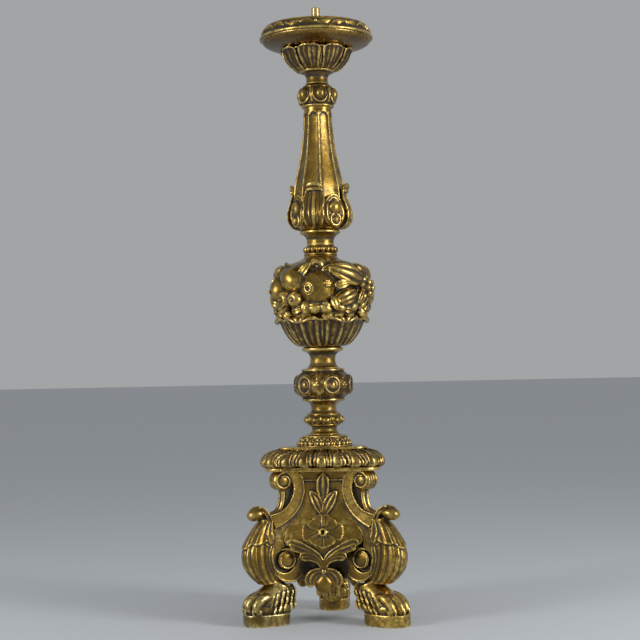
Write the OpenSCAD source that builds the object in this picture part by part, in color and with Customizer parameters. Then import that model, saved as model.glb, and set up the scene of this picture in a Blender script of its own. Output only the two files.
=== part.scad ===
// Torchere candle stand of carved and gilded wood: a three-sided scroll base on
// lion-paw feet, a turned and carved stem with a basket of fruit, and a drip pan
// with a short brass candle tube. Millimetres, +Z up. The origin is on the floor
// under the stem's axis, and one panel of the base faces -Y.

/* [Feet] */
// Distance from the stem's axis to the middle of each paw
foot_reach = 110; // [100:1:125]
// Length of a paw's sole, measured outwards from the axis
sole_l = 84; // [74:1:92]
// Width of a paw's sole
sole_w = 52; // [44:1:60]
// Height of the flat plinth under the toes
sole_h = 20; // [12:1:24]
// Height of a paw up to the joint at its ankle
paw_h = 62; // [56:1:72]
// Radius of the dowel that holds a paw to its console
dowel_r = 5; // [4:0.5:7]
// Depth that the dowel enters each piece
dowel_depth = 22; // [14:1:30]

/* [Scroll consoles] */
// Height of a console between its paw and the boards above
console_h = 181; // [165:1:195]
// Thickness of a console
console_t = 28; // [24:1:32]
// Radius of the lower volute
low_volute_r = 28; // [24:1:31]
// Radius of the upper volute
top_volute_r = 15.5; // [13:0.5:17]
// Width of the acanthus belly at its fullest
belly_w = 46; // [38:1:54]
// Depth of the carved volute channels
volute_depth = 6; // [3:0.5:8]

/* [Panels and boards] */
// Thickness of a base panel
panel_t = 12; // [9:1:14]
// Height of the carving above a panel's field
relief = 4; // [2:0.5:6]
// Thickness of the fillet board on the consoles
fillet_h = 6; // [4:0.5:10]
// Height of the gadrooned board
gadroon_h = 28; // [22:1:34]
// Thickness of the plain cap board
cap_h = 4; // [3:0.5:8]
// Distance from the axis to the corner centres of the gadrooned board
cap_reach = 82; // [76:1:88]
// Corner radius of the gadrooned board
cap_corner_r = 30; // [24:1:36]
// Gadroons along one straight side
side_gadroons = 5; // [3:2:9]
// Gadroons round one corner
corner_gadroons = 2; // [1:1:4]

/* [Stem] */
// Height of the beaded collar
collar_h = 19; // [15:1:26]
// Height of the small gadrooned knop with its necks
small_knop_h = 53; // [44:1:64]
// Height of the knop with roundels
roundel_knop_h = 54; // [46:1:66]
// Height of the spool under the leaf calyx
spool_h = 36; // [30:1:44]
// Height of the leaf calyx that holds the fruit
calyx_h = 48; // [40:1:58]
// Height of the fruit above the calyx
basket_h = 99; // [84:1:118]
// Height of the bead ring over the fruit
bead_ring_h = 19; // [17:1:24]
// Height of the neck under the vase
vase_neck_h = 24; // [18:1:30]
// Height of the acanthus vase
vase_h = 72; // [60:1:86]
// Height of the fluted shaft above the vase
shaft_h = 129; // [106:1:156]
// Height of the knop with eggs
egg_knop_h = 40; // [34:1:48]
// Height of the leaf cup with its neck
cup_h = 52; // [44:1:62]
// Radius of the narrow necks of the stem
neck_r = 20.5; // [18:0.5:24]
// Radius of the fluted shaft at its top
shaft_top_r = 22.5; // [20:0.5:26]
// Radius of the fluted shaft where it enters the vase
shaft_foot_r = 40; // [36:0.5:44]
// Number of flutes
flutes = 8; // [6:1:12]
// Greatest radius of the fruit
fruit_r = 88; // [78:1:96]
// Radius of the round tenons between stem pieces
tenon_r = 9; // [7:0.5:11]
// Length of those tenons
tenon_l = 14; // [8:1:16]

/* [Drip pan and tube] */
// Radius of the drip pan at its widest
pan_r = 93.5; // [80:0.5:110]
// Height of the drip pan
pan_h = 41.5; // [36:0.5:50]
// Depth of the dish
dish_depth = 13.5; // [8:0.5:18]
// Outer radius of the candle tube
tube_r = 7; // [6:0.25:9]
// Bore radius of the candle tube
tube_bore_r = 5.5; // [4:0.25:6]
// Height of the candle tube above the dish
tube_h = 46; // [30:1:70]
// Length of the tube's shank in the pan
shank_l = 20; // [12:1:26]

/* [Fits] */
// Clearance between glued or driven pieces
fit_gap = 0.1; // [0.05:0.05:0.3]

/* [Hidden] */
$fn = 48;
GOLD = "#a8822f";
DARK_GOLD = "#86662a";
BRASS = "#c9a54a";
WOOD = "#7a5a36";

LEG_ANGLES = [210, 330, 90];      // the corners of the base
PANEL_ANGLES = [270, 30, 150];    // the faces between them

// Heights of the joints, from the floor up
board_z = paw_h + console_h;
gadroon_z = board_z + fillet_h;
cap_z = gadroon_z + gadroon_h;
collar_z = cap_z + cap_h;
small_knop_z = collar_z + collar_h;
roundel_z = small_knop_z + small_knop_h;
spool_z = roundel_z + roundel_knop_h;
calyx_z = spool_z + spool_h;
basket_z = calyx_z + calyx_h;
bead_ring_z = basket_z + basket_h;
vase_neck_z = bead_ring_z + bead_ring_h;
vase_z = vase_neck_z + vase_neck_h;
shaft_z = vase_z + vase_h;
egg_knop_z = shaft_z + shaft_h;
cup_z = egg_knop_z + egg_knop_h;
pan_z = cup_z + cup_h;
dish_z = pan_z + pan_h - dish_depth;

tenon_room = 1;                    // space left under a tenon's end
stem_tenon_l = gadroon_h + cap_h - 2;
shank_r = tube_r - 0.7;
tube_seat = 1;                     // depth that the tube's shoulder is let into the dish
seat_room = 1.2;                   // room round it, for a sleeve that slides down the tube
calyx_wall = 14;                   // depth that the fruit sits into the calyx
leaves = 8;
roundel_turn = 54;                 // azimuth of the first roundel
egg_turn = 47;                     // azimuth of the first egg

// ---- Curves and general shapes ----

// Points along a circular arc, angles in degrees
function arc(centre, r, from, to, steps = 8) =
    [for (i = [0:steps]) let (a = from + (to - from) * i / steps) centre + r * [cos(a), sin(a)]];

// Points along a cubic Bezier curve
function bezier(p0, p1, p2, p3, steps = 10) =
    [for (i = [0:steps]) let (t = i / steps, s = 1 - t)
        s * s * s * p0 + 3 * s * s * t * p1 + 3 * s * t * t * p2 + t * t * t * p3];

function reversed(list) = [for (i = [len(list) - 1:-1:0]) list[i]];

// A closed solid through rings of equally many points, listed counter-clockwise, bottom to top
module loft(rings) {
    n = len(rings[0]);
    m = len(rings);
    mean = function (ring) [for (k = [0:2]) [for (p = ring) p[k]] * [for (p = ring) 1 / n]];
    points = concat([for (ring = rings, p = ring) p], [mean(rings[0]), mean(rings[m - 1])]);
    sides = [for (j = [0:m - 2], i = [0:n - 1])
        let (a = j * n + i, b = j * n + (i + 1) % n)
        each [[a, b + n, b], [a, a + n, b + n]]];
    ends = [for (i = [0:n - 1]) let (k = (i + 1) % n, top = (m - 1) * n)
        each [[m * n, i, k], [m * n + 1, top + k, top + i]]];
    polyhedron(points = points, faces = concat(sides, ends));
}

// A turned solid whose outline is a list of [radius, height], closed along the axis
module turned(outline) {
    rotate_extrude() polygon(concat([[0, outline[0][1]]], outline, [[0, outline[len(outline) - 1][1]]]));
}

// The round tenon under a stem piece that starts at height z
module tenon(z, l = tenon_l) {
    translate([0, 0, z - l]) cylinder(r = tenon_r, h = l + 1);
}

// The socket in the top of a stem piece that ends at height z
module socket(z, l = tenon_l) {
    translate([0, 0, z - l - tenon_room]) cylinder(r = tenon_r + fit_gap, h = l + tenon_room + 1);
}

// Raised beads round a ring
module beads(count, ring_r, z, r) {
    for (i = [0:count - 1]) rotate(360 * i / count) translate([ring_r, 0, z]) sphere(r);
}

// Puts a shape drawn in a leg's own radius and height onto the plane of leg i
module on_leg(i) {
    rotate(LEG_ANGLES[i]) children();
}

// ---- Paw feet ----

// One level of a paw: [height, middle, half length, half width, toe depth]
function paw_levels() = let (s = sole_l / 2, w = sole_w / 2, back = foot_reach - sole_l / 2) [
    [0, foot_reach, s - 1.5, w - 1.5, 0],
    [1.5, foot_reach, s, w, 0],
    [sole_h - 1, foot_reach, s, w, 0],
    [sole_h, foot_reach, s - 2, w - 2, 0.10],
    [sole_h + 5, foot_reach, s - 1, w - 1, 0.16],
    [sole_h + 12, foot_reach - 1, s - 2, w - 2, 0.18],
    [sole_h + 20, foot_reach - 4, s - 7, w - 4, 0.15],
    [sole_h + 27, foot_reach - 10, s - 15, w - 7, 0.06],
    [paw_h - 9, back + 24, 22, w - 7.5, 0],
    [paw_h, back + 22, 21.5, w - 7, 0]
];

// A paw's outline at one level: an oval with four toes on its outward end
function paw_ring(level, n = 48) = [for (i = [0:n - 1])
    let (a = 360 * i / n,
         side = abs(a > 180 ? a - 360 : a),
         toe = side < 75 ? level[4] * (1 - abs(cos(a * 5))) : 0,
         r = 1 - toe,
         squarer = 1 + 0.10 * pow(abs(sin(2 * a)), 2))
    [level[1] + level[2] * r * squarer * cos(a), level[3] * r * squarer * sin(a), level[0]]];

module dowel_space(z, l, r) {
    back = foot_reach - sole_l / 2;
    translate([back + 22, 0, z]) cylinder(r = r, h = l);
}

module paw_foot(i) {
    color(GOLD) on_leg(i) difference() {
        loft([for (level = paw_levels()) paw_ring(level)]);
        dowel_space(paw_h - dowel_depth, dowel_depth + 1, dowel_r + fit_gap);
    }
}

module foot_dowels() {
    color(WOOD) for (i = [0:2]) on_leg(i)
        dowel_space(paw_h - dowel_depth + tenon_room, 2 * (dowel_depth - tenon_room), dowel_r);
}

// ---- Scroll consoles, drawn as [radius, height] ----

ankle_in = foot_reach - sole_l / 2 + 1;
low_eye = [foot_reach - 38.5, paw_h + 34.5];
top_eye = [foot_reach - 30.5, board_z - top_volute_r];
knob_at = [foot_reach + 15, paw_h + 114];
inner_r = 39;                      // the console's inner edge at the waist
waist_z = board_z - 31;            // where the strap is narrowest

// Outer edge of the strap, from under the upper volute down to the knob's root
function strap_outer() = bezier(top_eye + [2, -top_volute_r + 1], [foot_reach - 38, waist_z],
    [foot_reach - 36, waist_z - 62], knob_at + [-8, -6], 12);

// Inner edge of the strap, from the boards down to the lower volute
function strap_inner() = bezier([inner_r, waist_z + 8], [inner_r, waist_z - 40],
    low_eye + [2, 60], low_eye + [10, low_volute_r - 3], 14);

module console_outline() {
    polygon(concat(
        [[top_eye[0], board_z], [inner_r, board_z]],
        strap_inner(),
        [low_eye + [0, -low_volute_r + 2], [ankle_in + 8, paw_h], [foot_reach - 4, paw_h]],
        bezier([foot_reach + 4, paw_h + 6], [foot_reach + 38, paw_h + 24],
               [foot_reach + 36, paw_h + 66], [foot_reach + 6, paw_h + 106], 12),
        reversed(strap_outer())
    ));
    translate(low_eye) circle(low_volute_r);
    translate(top_eye) circle(top_volute_r);
}

// A volute's channel: a crescent that is widest at the angle given and closes opposite to it,
// with a finer one turned half round in the eye that it leaves
module volute_channel(r, at) {
    for (k = [0, 1]) rotate(at + 180 * k) {
        rk = r * (k == 0 ? 1 : 0.58);
        difference() {
            translate([0.22 * rk, 0]) circle(rk);
            circle(0.76 * rk);
        }
    }
}

// The channel that runs along the strap between its two fillets
module strap_channel(width) {
    middle = strap_inner();
    shifted = [for (i = [0:len(middle) - 1]) middle[i] + [9 - 3 * i / len(middle), 1]];
    polygon(concat(shifted, reversed([for (p = shifted) p + [width, 0]])));
}

// Acanthus belly: [height, outer radius, inner radius, half width]
function belly_levels() = let (w = belly_w / 2) [
    [paw_h, foot_reach + 2, foot_reach - 28, w * 0.70],
    [paw_h + 4, foot_reach + 11, foot_reach - 28, w * 0.82],
    [paw_h + 14, foot_reach + 24, foot_reach - 27, w * 0.93],
    [paw_h + 30, foot_reach + 37, foot_reach - 24, w],
    [paw_h + 46, foot_reach + 39.5, foot_reach - 22, w * 0.98],
    [paw_h + 64, foot_reach + 34.5, foot_reach - 20, w * 0.87],
    [paw_h + 82, foot_reach + 22, foot_reach - 18, w * 0.72],
    [paw_h + 97, foot_reach + 13, foot_reach - 14, w * 0.60],
    [paw_h + 106, foot_reach + 11, foot_reach - 8, w * 0.50]
];

// Seven leaf ribs wrap the outward half of each level
function belly_ring(level, n = 40) = [for (i = [0:n - 1])
    let (a = 360 * i / n,
         outward = max(0, cos(a * 0.9 > 162 ? 324 - a * 0.9 : a * 0.9)),
         rib = 1 - 0.07 * outward * (1 - abs(cos(a * 4.5))),
         mid = (level[1] + level[2]) / 2, half = (level[1] - level[2]) / 2)
    [mid + half * rib * cos(a), level[3] * rib * sin(a), level[0]]];

// The rolled leaf tip that stands out above the belly
module console_knob() {
    translate([knob_at[0], 0, knob_at[1]]) rotate([0, 12, 0])
        hull() for (s = [-1, 1]) translate([s * 6, 0, 0]) scale([1, 1.25, 0.95]) sphere(10.5, $fn = 20);
    translate([knob_at[0] - 9, 0, knob_at[1] - 10]) rotate([0, 34, 0])
        translate([0, 0, -13]) cylinder(r1 = 13, r2 = 9.5, h = 22);
}

module console(i) {
    color(GOLD) on_leg(i) difference() {
        union() {
            rotate([90, 0, 0]) translate([0, 0, -console_t / 2])
                linear_extrude(console_t) console_outline();
            loft([for (level = belly_levels()) belly_ring(level)]);
            console_knob();
        }
        for (s = [-1, 1]) rotate([90, 0, 0])
            translate([0, 0, s > 0 ? console_t / 2 - volute_depth : -console_t / 2 - 1])
            linear_extrude(volute_depth + 1) {
                translate(low_eye + [4, 7]) volute_channel(0.64 * low_volute_r, -25);
                translate(top_eye + [0, -0.5]) volute_channel(0.7 * top_volute_r, 200);
            }
        for (s = [-1, 1]) rotate([90, 0, 0])
            translate([0, 0, s > 0 ? console_t / 2 - 2 : -console_t / 2 - 1])
            linear_extrude(3) strap_channel(2.5);
        for (s = [-1, 0, 1]) translate([top_eye[0], s * console_t / 4, top_eye[1]]) rotate([90, 0, 0])
            rotate_extrude() translate([top_volute_r + 0.5, 0]) circle(1.8);
        dowel_space(paw_h - 1, dowel_depth + 1, dowel_r + fit_gap);
    }
}

// ---- Base panels, drawn for the face at -Y ----

rail_r = 37.5;                     // how far the top rail stands from the axis
rail_z = board_z - 16;

// How far the panel's face stands from the axis at each height, below its rail
function panel_face() = [
    [paw_h - 12, 47], [paw_h + 20, 48.5], [paw_h + 40, 51], [paw_h + 66, 52.5], [paw_h + 84, 50],
    [paw_h + 97, 44.5], [paw_h + 113, 38], [paw_h + 126, 34.5], [paw_h + 140, 33.5], [rail_z - 2, 33.5]
];

// Side view of the panel, its face brought forwards by the amount given
module panel_section(proud = 0) {
    face = concat(panel_face(), [[rail_z, rail_r], [board_z, rail_r]]);
    polygon(concat(
        [for (p = face) [p[1] + proud, p[0]]],
        reversed([for (p = face) [p[1] - panel_t, p[0]]])
    ));
}

// Right half of the panel's front outline, from the boards down to the foot of the drop
function half_panel() = concat(
    [[66, board_z], [66, paw_h + 74], [62, paw_h + 68]],
    bezier([56, paw_h + 64], [40, paw_h + 60], [14, paw_h + 58], [6, paw_h + 30], 8),
    arc([18, paw_h + 15], 9.5, 150, -110, 9),
    arc([0, paw_h + 4.5], 12.5, 15, -90, 6));

// Front view of the panel: a field between the straps, fronds, and a three-lobed drop
module panel_outline() {
    half = half_panel();
    polygon(concat(half, reversed([for (p = half) [-p[0], p[1]]])));
}

// A pointed leaf along a line of points, w wide at its middle
module leaf_along(line, w) {
    last = len(line) - 1;
    function edge(i, s) = let (d = line[min(i + 1, last)] - line[max(i - 1, 0)])
        line[i] + s * w / 2 * sin(180 * i / last) * [-d[1], d[0]] / norm(d);
    polygon(concat([for (i = [0:last]) edge(i, 1)], [for (i = [last - 1:-1:1]) edge(i, -1)]));
}

flower_z = paw_h + 91;             // height of the flower's middle
sprig_z = paw_h + 114;             // where the three leaves spring from

// What is carved in relief on the field: three leaves, a flower, two pairs of fronds and the drop
module panel_carving() {
    leaf_along([for (t = [0:0.125:1]) [0, sprig_z + t * 63]], 17);
    for (s = [-1, 1]) {
        leaf_along(bezier([0, sprig_z], [s * 4, sprig_z + 14],
            [s * 14, sprig_z + 20], [s * 21, sprig_z + 37]), 11);
        leaf_along(bezier([0, paw_h + 30], [s * 6, paw_h + 56],
            [s * 22, paw_h + 68], [s * 55, paw_h + 75]), 15);
        leaf_along(bezier([0, paw_h + 30], [s * 5, paw_h + 48],
            [s * 14, paw_h + 54], [s * 34, paw_h + 56]), 9);
        translate([s * 18, paw_h + 15]) circle(8);
    }
    for (a = [30:60:330]) translate([19 * cos(a), flower_z + 13 * sin(a)]) circle(9.5);
    translate([0, paw_h + 8]) circle(10);
}

// What lies beyond the near side of each console beside the front panel
module console_room() {
    side = console_t / 2 + fit_gap;
    for (s = [-1, 1]) rotate(270 + 60 * s) translate([-10, s > 0 ? -side : side - 200, -1])
        cube([200, 200, board_z + 2]);
}

module base_panel(i) {
    half_w = 90;
    color(GOLD) rotate(PANEL_ANGLES[i] - PANEL_ANGLES[0]) difference() {
        for (proud = [0, relief]) intersection() {
            rotate([90, 0, -90]) translate([0, 0, -half_w]) linear_extrude(2 * half_w) panel_section(proud);
            rotate([90, 0, 0]) linear_extrude(half_w) {
                if (proud == 0) panel_outline();
                if (proud > 0) panel_carving();
            }
        }
        console_room();
        translate([0, 0, flower_z]) rotate([90, 0, 0]) cylinder(r = 3, h = half_w);
    }
}

module glue_blocks() {
    size = 16;
    color(WOOD) for (a = PANEL_ANGLES) rotate(a)
        translate([rail_r - panel_t - size - fit_gap, -size, board_z - size]) cube([size, 2 * size, size]);
}

// ---- Boards over the base ----

// Outline of a three-cornered board with round corners, k times the gadrooned board's size
module board_outline(k) {
    hull() for (a = LEG_ANGLES) rotate(a) translate([k * cap_reach, 0]) circle(k * cap_corner_r);
}

module stem_hole(z, h) {
    translate([0, 0, z - 1]) cylinder(r = tenon_r + fit_gap, h = h + 2);
}

module fillet_board() {
    color(DARK_GOLD) translate([0, 0, board_z]) linear_extrude(fillet_h) board_outline(0.92);
}

module cap_board() {
    color(DARK_GOLD) difference() {
        translate([0, 0, cap_z]) linear_extrude(cap_h) board_outline(0.71);
        stem_hole(cap_z, cap_h);
    }
}

// Each gadroon is one swell of the board's edge, and its samples are spread evenly over it
gadroon_samples = 6;

// Outline point u gadroons along the edge, which starts where a straight side starts
function board_point(u, k, dent) =
    let (per_side = side_gadroons + corner_gadroons,
         side = floor(u / per_side),
         s = u - side * per_side,
         r = cap_corner_r - dent / k,
         out = PANEL_ANGLES[0] + 120 * side,
         turn = out + 120 * (s - side_gadroons) / corner_gadroons)
    k * (s <= side_gadroons
        ? (cap_reach / 2 + r) * [cos(out), sin(out)]
            + (s / side_gadroons - 0.5) * cap_reach * sqrt(3) * [-sin(out), cos(out)]
        : cap_reach * [cos(out + 60), sin(out + 60)] + r * [cos(turn), sin(turn)]);

function gadroon_ring(k, z, depth) =
    let (per_side = side_gadroons + corner_gadroons, total = 3 * per_side * gadroon_samples)
    [for (i = [0:total - 1]) let (
            u = (i + 0.001) / gadroon_samples,
            v = u - floor(u / per_side) * per_side,
            phase = v < side_gadroons ? v : v - side_gadroons,
            dent = depth * (1 - sqrt(abs(sin(180 * phase)))),
            p = board_point(u, k, dent))
        [p[0], p[1], z]];

module gadroon_board() {
    h = gadroon_h;
    color(GOLD) difference() {
        loft([
            gadroon_ring(0.93, gadroon_z, 2),
            gadroon_ring(0.975, gadroon_z + h * 0.07, 5),
            gadroon_ring(1, gadroon_z + h * 0.25, 6),
            gadroon_ring(0.985, gadroon_z + h * 0.46, 6),
            gadroon_ring(0.94, gadroon_z + h * 0.70, 5),
            gadroon_ring(0.87, gadroon_z + h * 0.88, 4),
            gadroon_ring(0.78, gadroon_z + h, 1.5)
        ]);
        stem_hole(gadroon_z, gadroon_h);
    }
}

// ---- Stem, from the collar up ----

module bead_collar() {
    z = collar_z;
    h = collar_h;
    color(GOLD) difference() {
        union() {
            turned(concat(
                [[43, z]], arc([42, z + 4], 3, -60, 60, 4),
                [[40, z + 7.5], [39.5, z + 9]],
                arc([33.5, z + 9.5], 5.5, 0, 80, 5),
                [[30, z + h - 3.5], [27, z + h - 2.5], [27, z + h]]));
            beads(28, 42, z + 4.5, 4.1);
            beads(12, 35, z + 12, 4.5);
            tenon(z, stem_tenon_l);
        }
        socket(z + h);
    }
}

module small_knop() {
    z = small_knop_z;
    h = small_knop_h;
    mid = z + 23.5;
    color(GOLD) difference() {
        union() {
            turned(concat(
                [[25.5, z]],
                bezier([25, z + 1], [neck_r, z + 4], [neck_r - 1, z + 9], [24.5, mid - 10]),
                bezier([28, mid - 9], [34, mid - 6], [34.5, mid + 6], [27, mid + 9]),
                [[26.5, mid + 10.5]],
                bezier([24, mid + 11], [neck_r, mid + 14], [neck_r, z + h - 9], [29, z + h])));
            for (i = [0:11]) rotate(30 * i) translate([25.5, 0, mid - 0.5]) sphere(8.6);
            tenon(z);
        }
        socket(z + h);
    }
}

module roundel_knop() {
    z = roundel_z;
    h = roundel_knop_h;
    mid = z + h / 2;
    color(GOLD) difference() {
        union() {
            turned(concat(
                [[32, z]], arc([33, z + 3], 2.6, -70, 70, 4),
                [[34, z + 6]],
                arc([27, mid], 20.5, -72, 72, 14),
                [[34, z + h - 6]],
                arc([33, z + h - 3], 2.6, -70, 70, 4), [[28, z + h]]));
            for (i = [0:5]) rotate(60 * i + roundel_turn) roundel(mid);
            for (i = [0:5]) rotate(60 * i + roundel_turn - 30) translate([45.5, 0, mid]) sphere(3.4);
            tenon(z);
        }
        socket(z + h);
    }
}

// A raised ring with a domed boss in it, facing outwards
module roundel(z) {
    translate([42, 0, z]) rotate([0, 90, 0]) {
        difference() {
            cylinder(r = 13.5, h = 5.2);
            translate([0, 0, 3.2]) cylinder(r = 11, h = 3);
        }
        translate([0, 0, -4.5]) sphere(11);
    }
}

module spool() {
    z = spool_z;
    h = spool_h;
    color(GOLD) difference() {
        union() {
            turned(concat(
                [[28, z]],
                bezier([27, z + 1], [neck_r + 0.5, z + 5], [neck_r, z + 8], [neck_r, z + h / 2], 6),
                bezier([neck_r, z + h / 2 + 1], [neck_r + 1, z + h - 13],
                    [26, z + h - 11], [30, z + h - 8.5], 6),
                arc([31, z + h - 5], 3.4, -70, 70, 4), [[28, z + h]]));
            tenon(z);
        }
        socket(z + h);
    }
}

// One ring of a leafy cup: crest radius, height, groove depth and rise of the leaf's middle
function leaf_ring(r, z, groove, rise, per_leaf = 8, turn = 0) =
    let (n = leaves * per_leaf)
    [for (i = [0:n - 1]) let (
            a = 360 * i / n + turn,
            crest = abs(cos(180 * i / per_leaf)),
            rr = r - groove * (1 - crest))
        [rr * cos(a), rr * sin(a), z + rise * crest]];

module fruit_calyx() {
    z = calyx_z;
    h = calyx_h;
    color(GOLD) difference() {
        union() {
            loft([
                leaf_ring(34, z - 0, 1, 0),
                leaf_ring(45, z + 0.17 * h, 3, 0),
                leaf_ring(54, z + 0.38 * h, 3.5, 0),
                leaf_ring(60, z + 0.58 * h, 3.5, 0.5),
                leaf_ring(66, z + 0.70 * h, 4, 2),
                leaf_ring(73, z + 0.75 * h, 5, 4.5),
                leaf_ring(75, z + 0.80 * h, 5, 5.5),
                leaf_ring(73.5, z + 0.86 * h, 5, 5.5),
                leaf_ring(67, z + 0.84 * h, 3, 4),
                leaf_ring(62, z + h - calyx_wall, 2, 0)
            ]);
            tenon(z);
        }
        socket(z + h - calyx_wall);
    }
}

// Fruits round the basket: [azimuth, height share, radius, length, tilt]. A length of 0 is a round fruit.
FRUITS = [
    [266, 0.47, 26, 0, 0], [303, 0.72, 17, 24, 16], [302, 0.35, 14, 13, -16],
    [334, 0.52, 19, 8, 80], [232, 0.67, 16, 8, -20], [208, 0.47, 19, 4, 0],
    [234, 0.34, 15, 6, 5], [258, 0.17, 12, 0, 0], [281, 0.18, 11.5, 0, 0], [268, 0.86, 10, 8, 0],
    [3, 0.70, 17, 9, -20], [357, 0.34, 16, 6, 12], [31, 0.47, 25, 0, 0],
    [68, 0.72, 17, 20, 14], [65, 0.35, 14, 13, -12], [97, 0.50, 18.5, 6, 85],
    [126, 0.70, 17, 10, 18], [123, 0.34, 15, 8, 4], [154, 0.47, 25, 0, 0],
    [184, 0.73, 16, 10, -14], [185, 0.31, 14, 7, 10],
    [320, 0.17, 12, 0, 0], [344, 0.18, 12, 0, 0], [15, 0.17, 11.5, 0, 0], [48, 0.18, 12, 0, 0],
    [81, 0.18, 12, 0, 0], [109, 0.17, 12, 0, 0], [139, 0.17, 11.5, 0, 0], [169, 0.18, 12, 0, 0],
    [214, 0.18, 12, 0, 0], [236, 0.17, 10.5, 0, 0]
];

// Reach of the fruit at a share of the basket's height: fullest just above the middle
function fruit_reach(t) = fruit_r * sqrt(1 - pow((t > 0.55 ? 2.15 : 1.5) * (t - 0.55), 2));

module fruit(f) {
    z = basket_z - calyx_wall + f[1] * (basket_h + calyx_wall);
    rotate(f[0]) translate([fruit_reach(f[1]) - f[2], 0, z])
        rotate([90 + f[4], 0, 0]) {
            if (f[3] == 0) sphere(f[2]);
            if (f[3] > 0) rotate_extrude() spindle(f[2], f[3]);
        }
}

// Half outline of a long fruit: an arc whose ends are cut by round caps
module spindle(r, l) {
    end = l / 2 + 0.8 * r;
    polygon(concat([[0, -end]], [for (i = [-3:3]) let (a = 24 * i) [r * cos(a), end * sin(a)]], [[0, end]]));
}

module fruit_basket() {
    z = basket_z - calyx_wall;
    h = basket_h + calyx_wall;
    color(GOLD) difference() {
        union() {
            turned([[56, z], [61, z + 0.2 * h], [68, z + 0.5 * h], [58, z + 0.78 * h], [42, z + 0.915 * h],
                [33, z + 0.94 * h], [28, z + 0.98 * h], [27, z + h]]);
            for (f = FRUITS) fruit(f);
            tenon(z);
        }
        socket(z + h);
    }
}

module bead_ring() {
    z = bead_ring_z;
    h = bead_ring_h;
    color(GOLD) difference() {
        union() {
            turned(concat([[25, z]], arc([24, z + 3], 3, -70, 70, 4), [[24, z + 7.5]],
                arc([24.5, z + 11.5], 3.2, -70, 70, 4), [[23, z + h - 3.5], [22.5, z + h]]));
            beads(20, 26, z + 11.5, 3.4);
            tenon(z);
        }
        socket(z + h, tenon_l - 2);
    }
}

module vase_neck() {
    z = vase_neck_z;
    h = vase_neck_h;
    color(GOLD) difference() {
        union() {
            turned(concat([[22.5, z]], bezier([22, z + 1], [22, z + 9], [25, z + 14], [30, z + h - 6], 8),
                arc([31, z + h - 3.2], 2.8, -70, 70, 4), [[30, z + h]]));
            tenon(z, tenon_l - 2);
        }
        socket(z + h);
    }
}

// Radius of the shaft at a height: it flares like a bell towards the vase
function shaft_r(z) = let (t = (egg_knop_z - z) / shaft_h)
    shaft_top_r + (shaft_foot_r - shaft_top_r) * pow(max(0, t), 2);

// One ring of the shaft: a narrow fillet, then a hollow flute, in each share of the circle
function flute_ring(z, depth) = [for (i = [0:flutes - 1],
        s = [[-0.1, 0], [0.1, 0], [0.27, 0.75], [0.5, 1], [0.73, 0.75]])
    let (a = 360 / flutes * (i + s[0]) + 10, r = shaft_r(z) - depth * s[1])
    [r * cos(a), r * sin(a), z]];

vase_leaves = 4;
vase_turn = 264;                   // azimuth of the leaf that faces forwards

// One ring of the vase: four leaves with scroll eyes between them
function vase_ring(r, t, leaf, eye, n = 56) = [for (i = [0:n - 1]) let (
        a = 360 * i / n,
        crest = abs(cos(vase_leaves / 2 * (a - vase_turn))),
        between = abs(sin(vase_leaves / 2 * (a - vase_turn))),
        vein = 1 - abs(cos(vase_leaves * 2.5 * (a - vase_turn))),
        rr = r + leaf * pow(crest, 0.8) - 0.25 * leaf * vein * crest + eye * pow(between, 6))
    [rr * cos(a), rr * sin(a), vase_z + t * vase_h]];

// A leaf tip rolled outwards, over leaf i of the vase
module leaf_roll(i) {
    rotate(vase_turn + 360 / vase_leaves * i) translate([41.5, 0, shaft_z - 1]) rotate([90, 0, 0]) {
        translate([0, 0, -9]) cylinder(r = 6, h = 18);
        hull() {
            translate([-4, -2, -7]) cylinder(r = 5, h = 14, $fn = 32);
            translate([-7, -18, -4]) cylinder(r = 3, h = 8, $fn = 32);
        }
    }
}

module fluted_shaft() {
    top = egg_knop_z;
    color(GOLD) difference() {
        union() {
            loft([
                for (s = [[shaft_z - 12, 4], [shaft_z, 4], [shaft_z + 0.16 * shaft_h, 3.8],
                        [shaft_z + 0.34 * shaft_h, 3.4], [shaft_z + 0.55 * shaft_h, 3],
                        [shaft_z + 0.8 * shaft_h, 2.8],
                        [top - 10, 2.6], [top - 7.5, 1.6], [top - 5, 0], [top, 0]])
                    flute_ring(s[0], s[1])
            ]);
            loft([
                vase_ring(32, 0, 0, 0),
                vase_ring(43, 0.06, 1.5, 2),
                vase_ring(48.5, 0.18, 3, 4),
                vase_ring(49.5, 0.34, 3.5, 6),
                vase_ring(47, 0.50, 4.5, 4),
                vase_ring(42.5, 0.66, 5, 1),
                vase_ring(39.5, 0.82, 4.5, -1),
                vase_ring(37, 0.95, 5, -4)
            ]);
            for (i = [0:vase_leaves - 1]) leaf_roll(i);
            tenon(vase_z);
        }
        socket(top);
    }
}

module egg_knop() {
    z = egg_knop_z;
    h = egg_knop_h;
    mid = z + 0.52 * h;
    color(GOLD) difference() {
        union() {
            turned(concat(
                [[23, z]], arc([24.5, z + 2.6], 2.6, -70, 70, 4), [[25.5, z + 6]],
                bezier([27, z + 8], [30.5, z + 14], [30.5, z + h - 16], [26, z + h - 10], 8),
                arc([23, z + h - 6], 2.4, -70, 70, 4), [[20, z + h - 2], [19, z + h]]));
            for (i = [0:5]) rotate(60 * i + egg_turn) translate([24, 0, mid]) sphere(10.6);
            tenon(z);
        }
        socket(z + h);
    }
}

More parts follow.
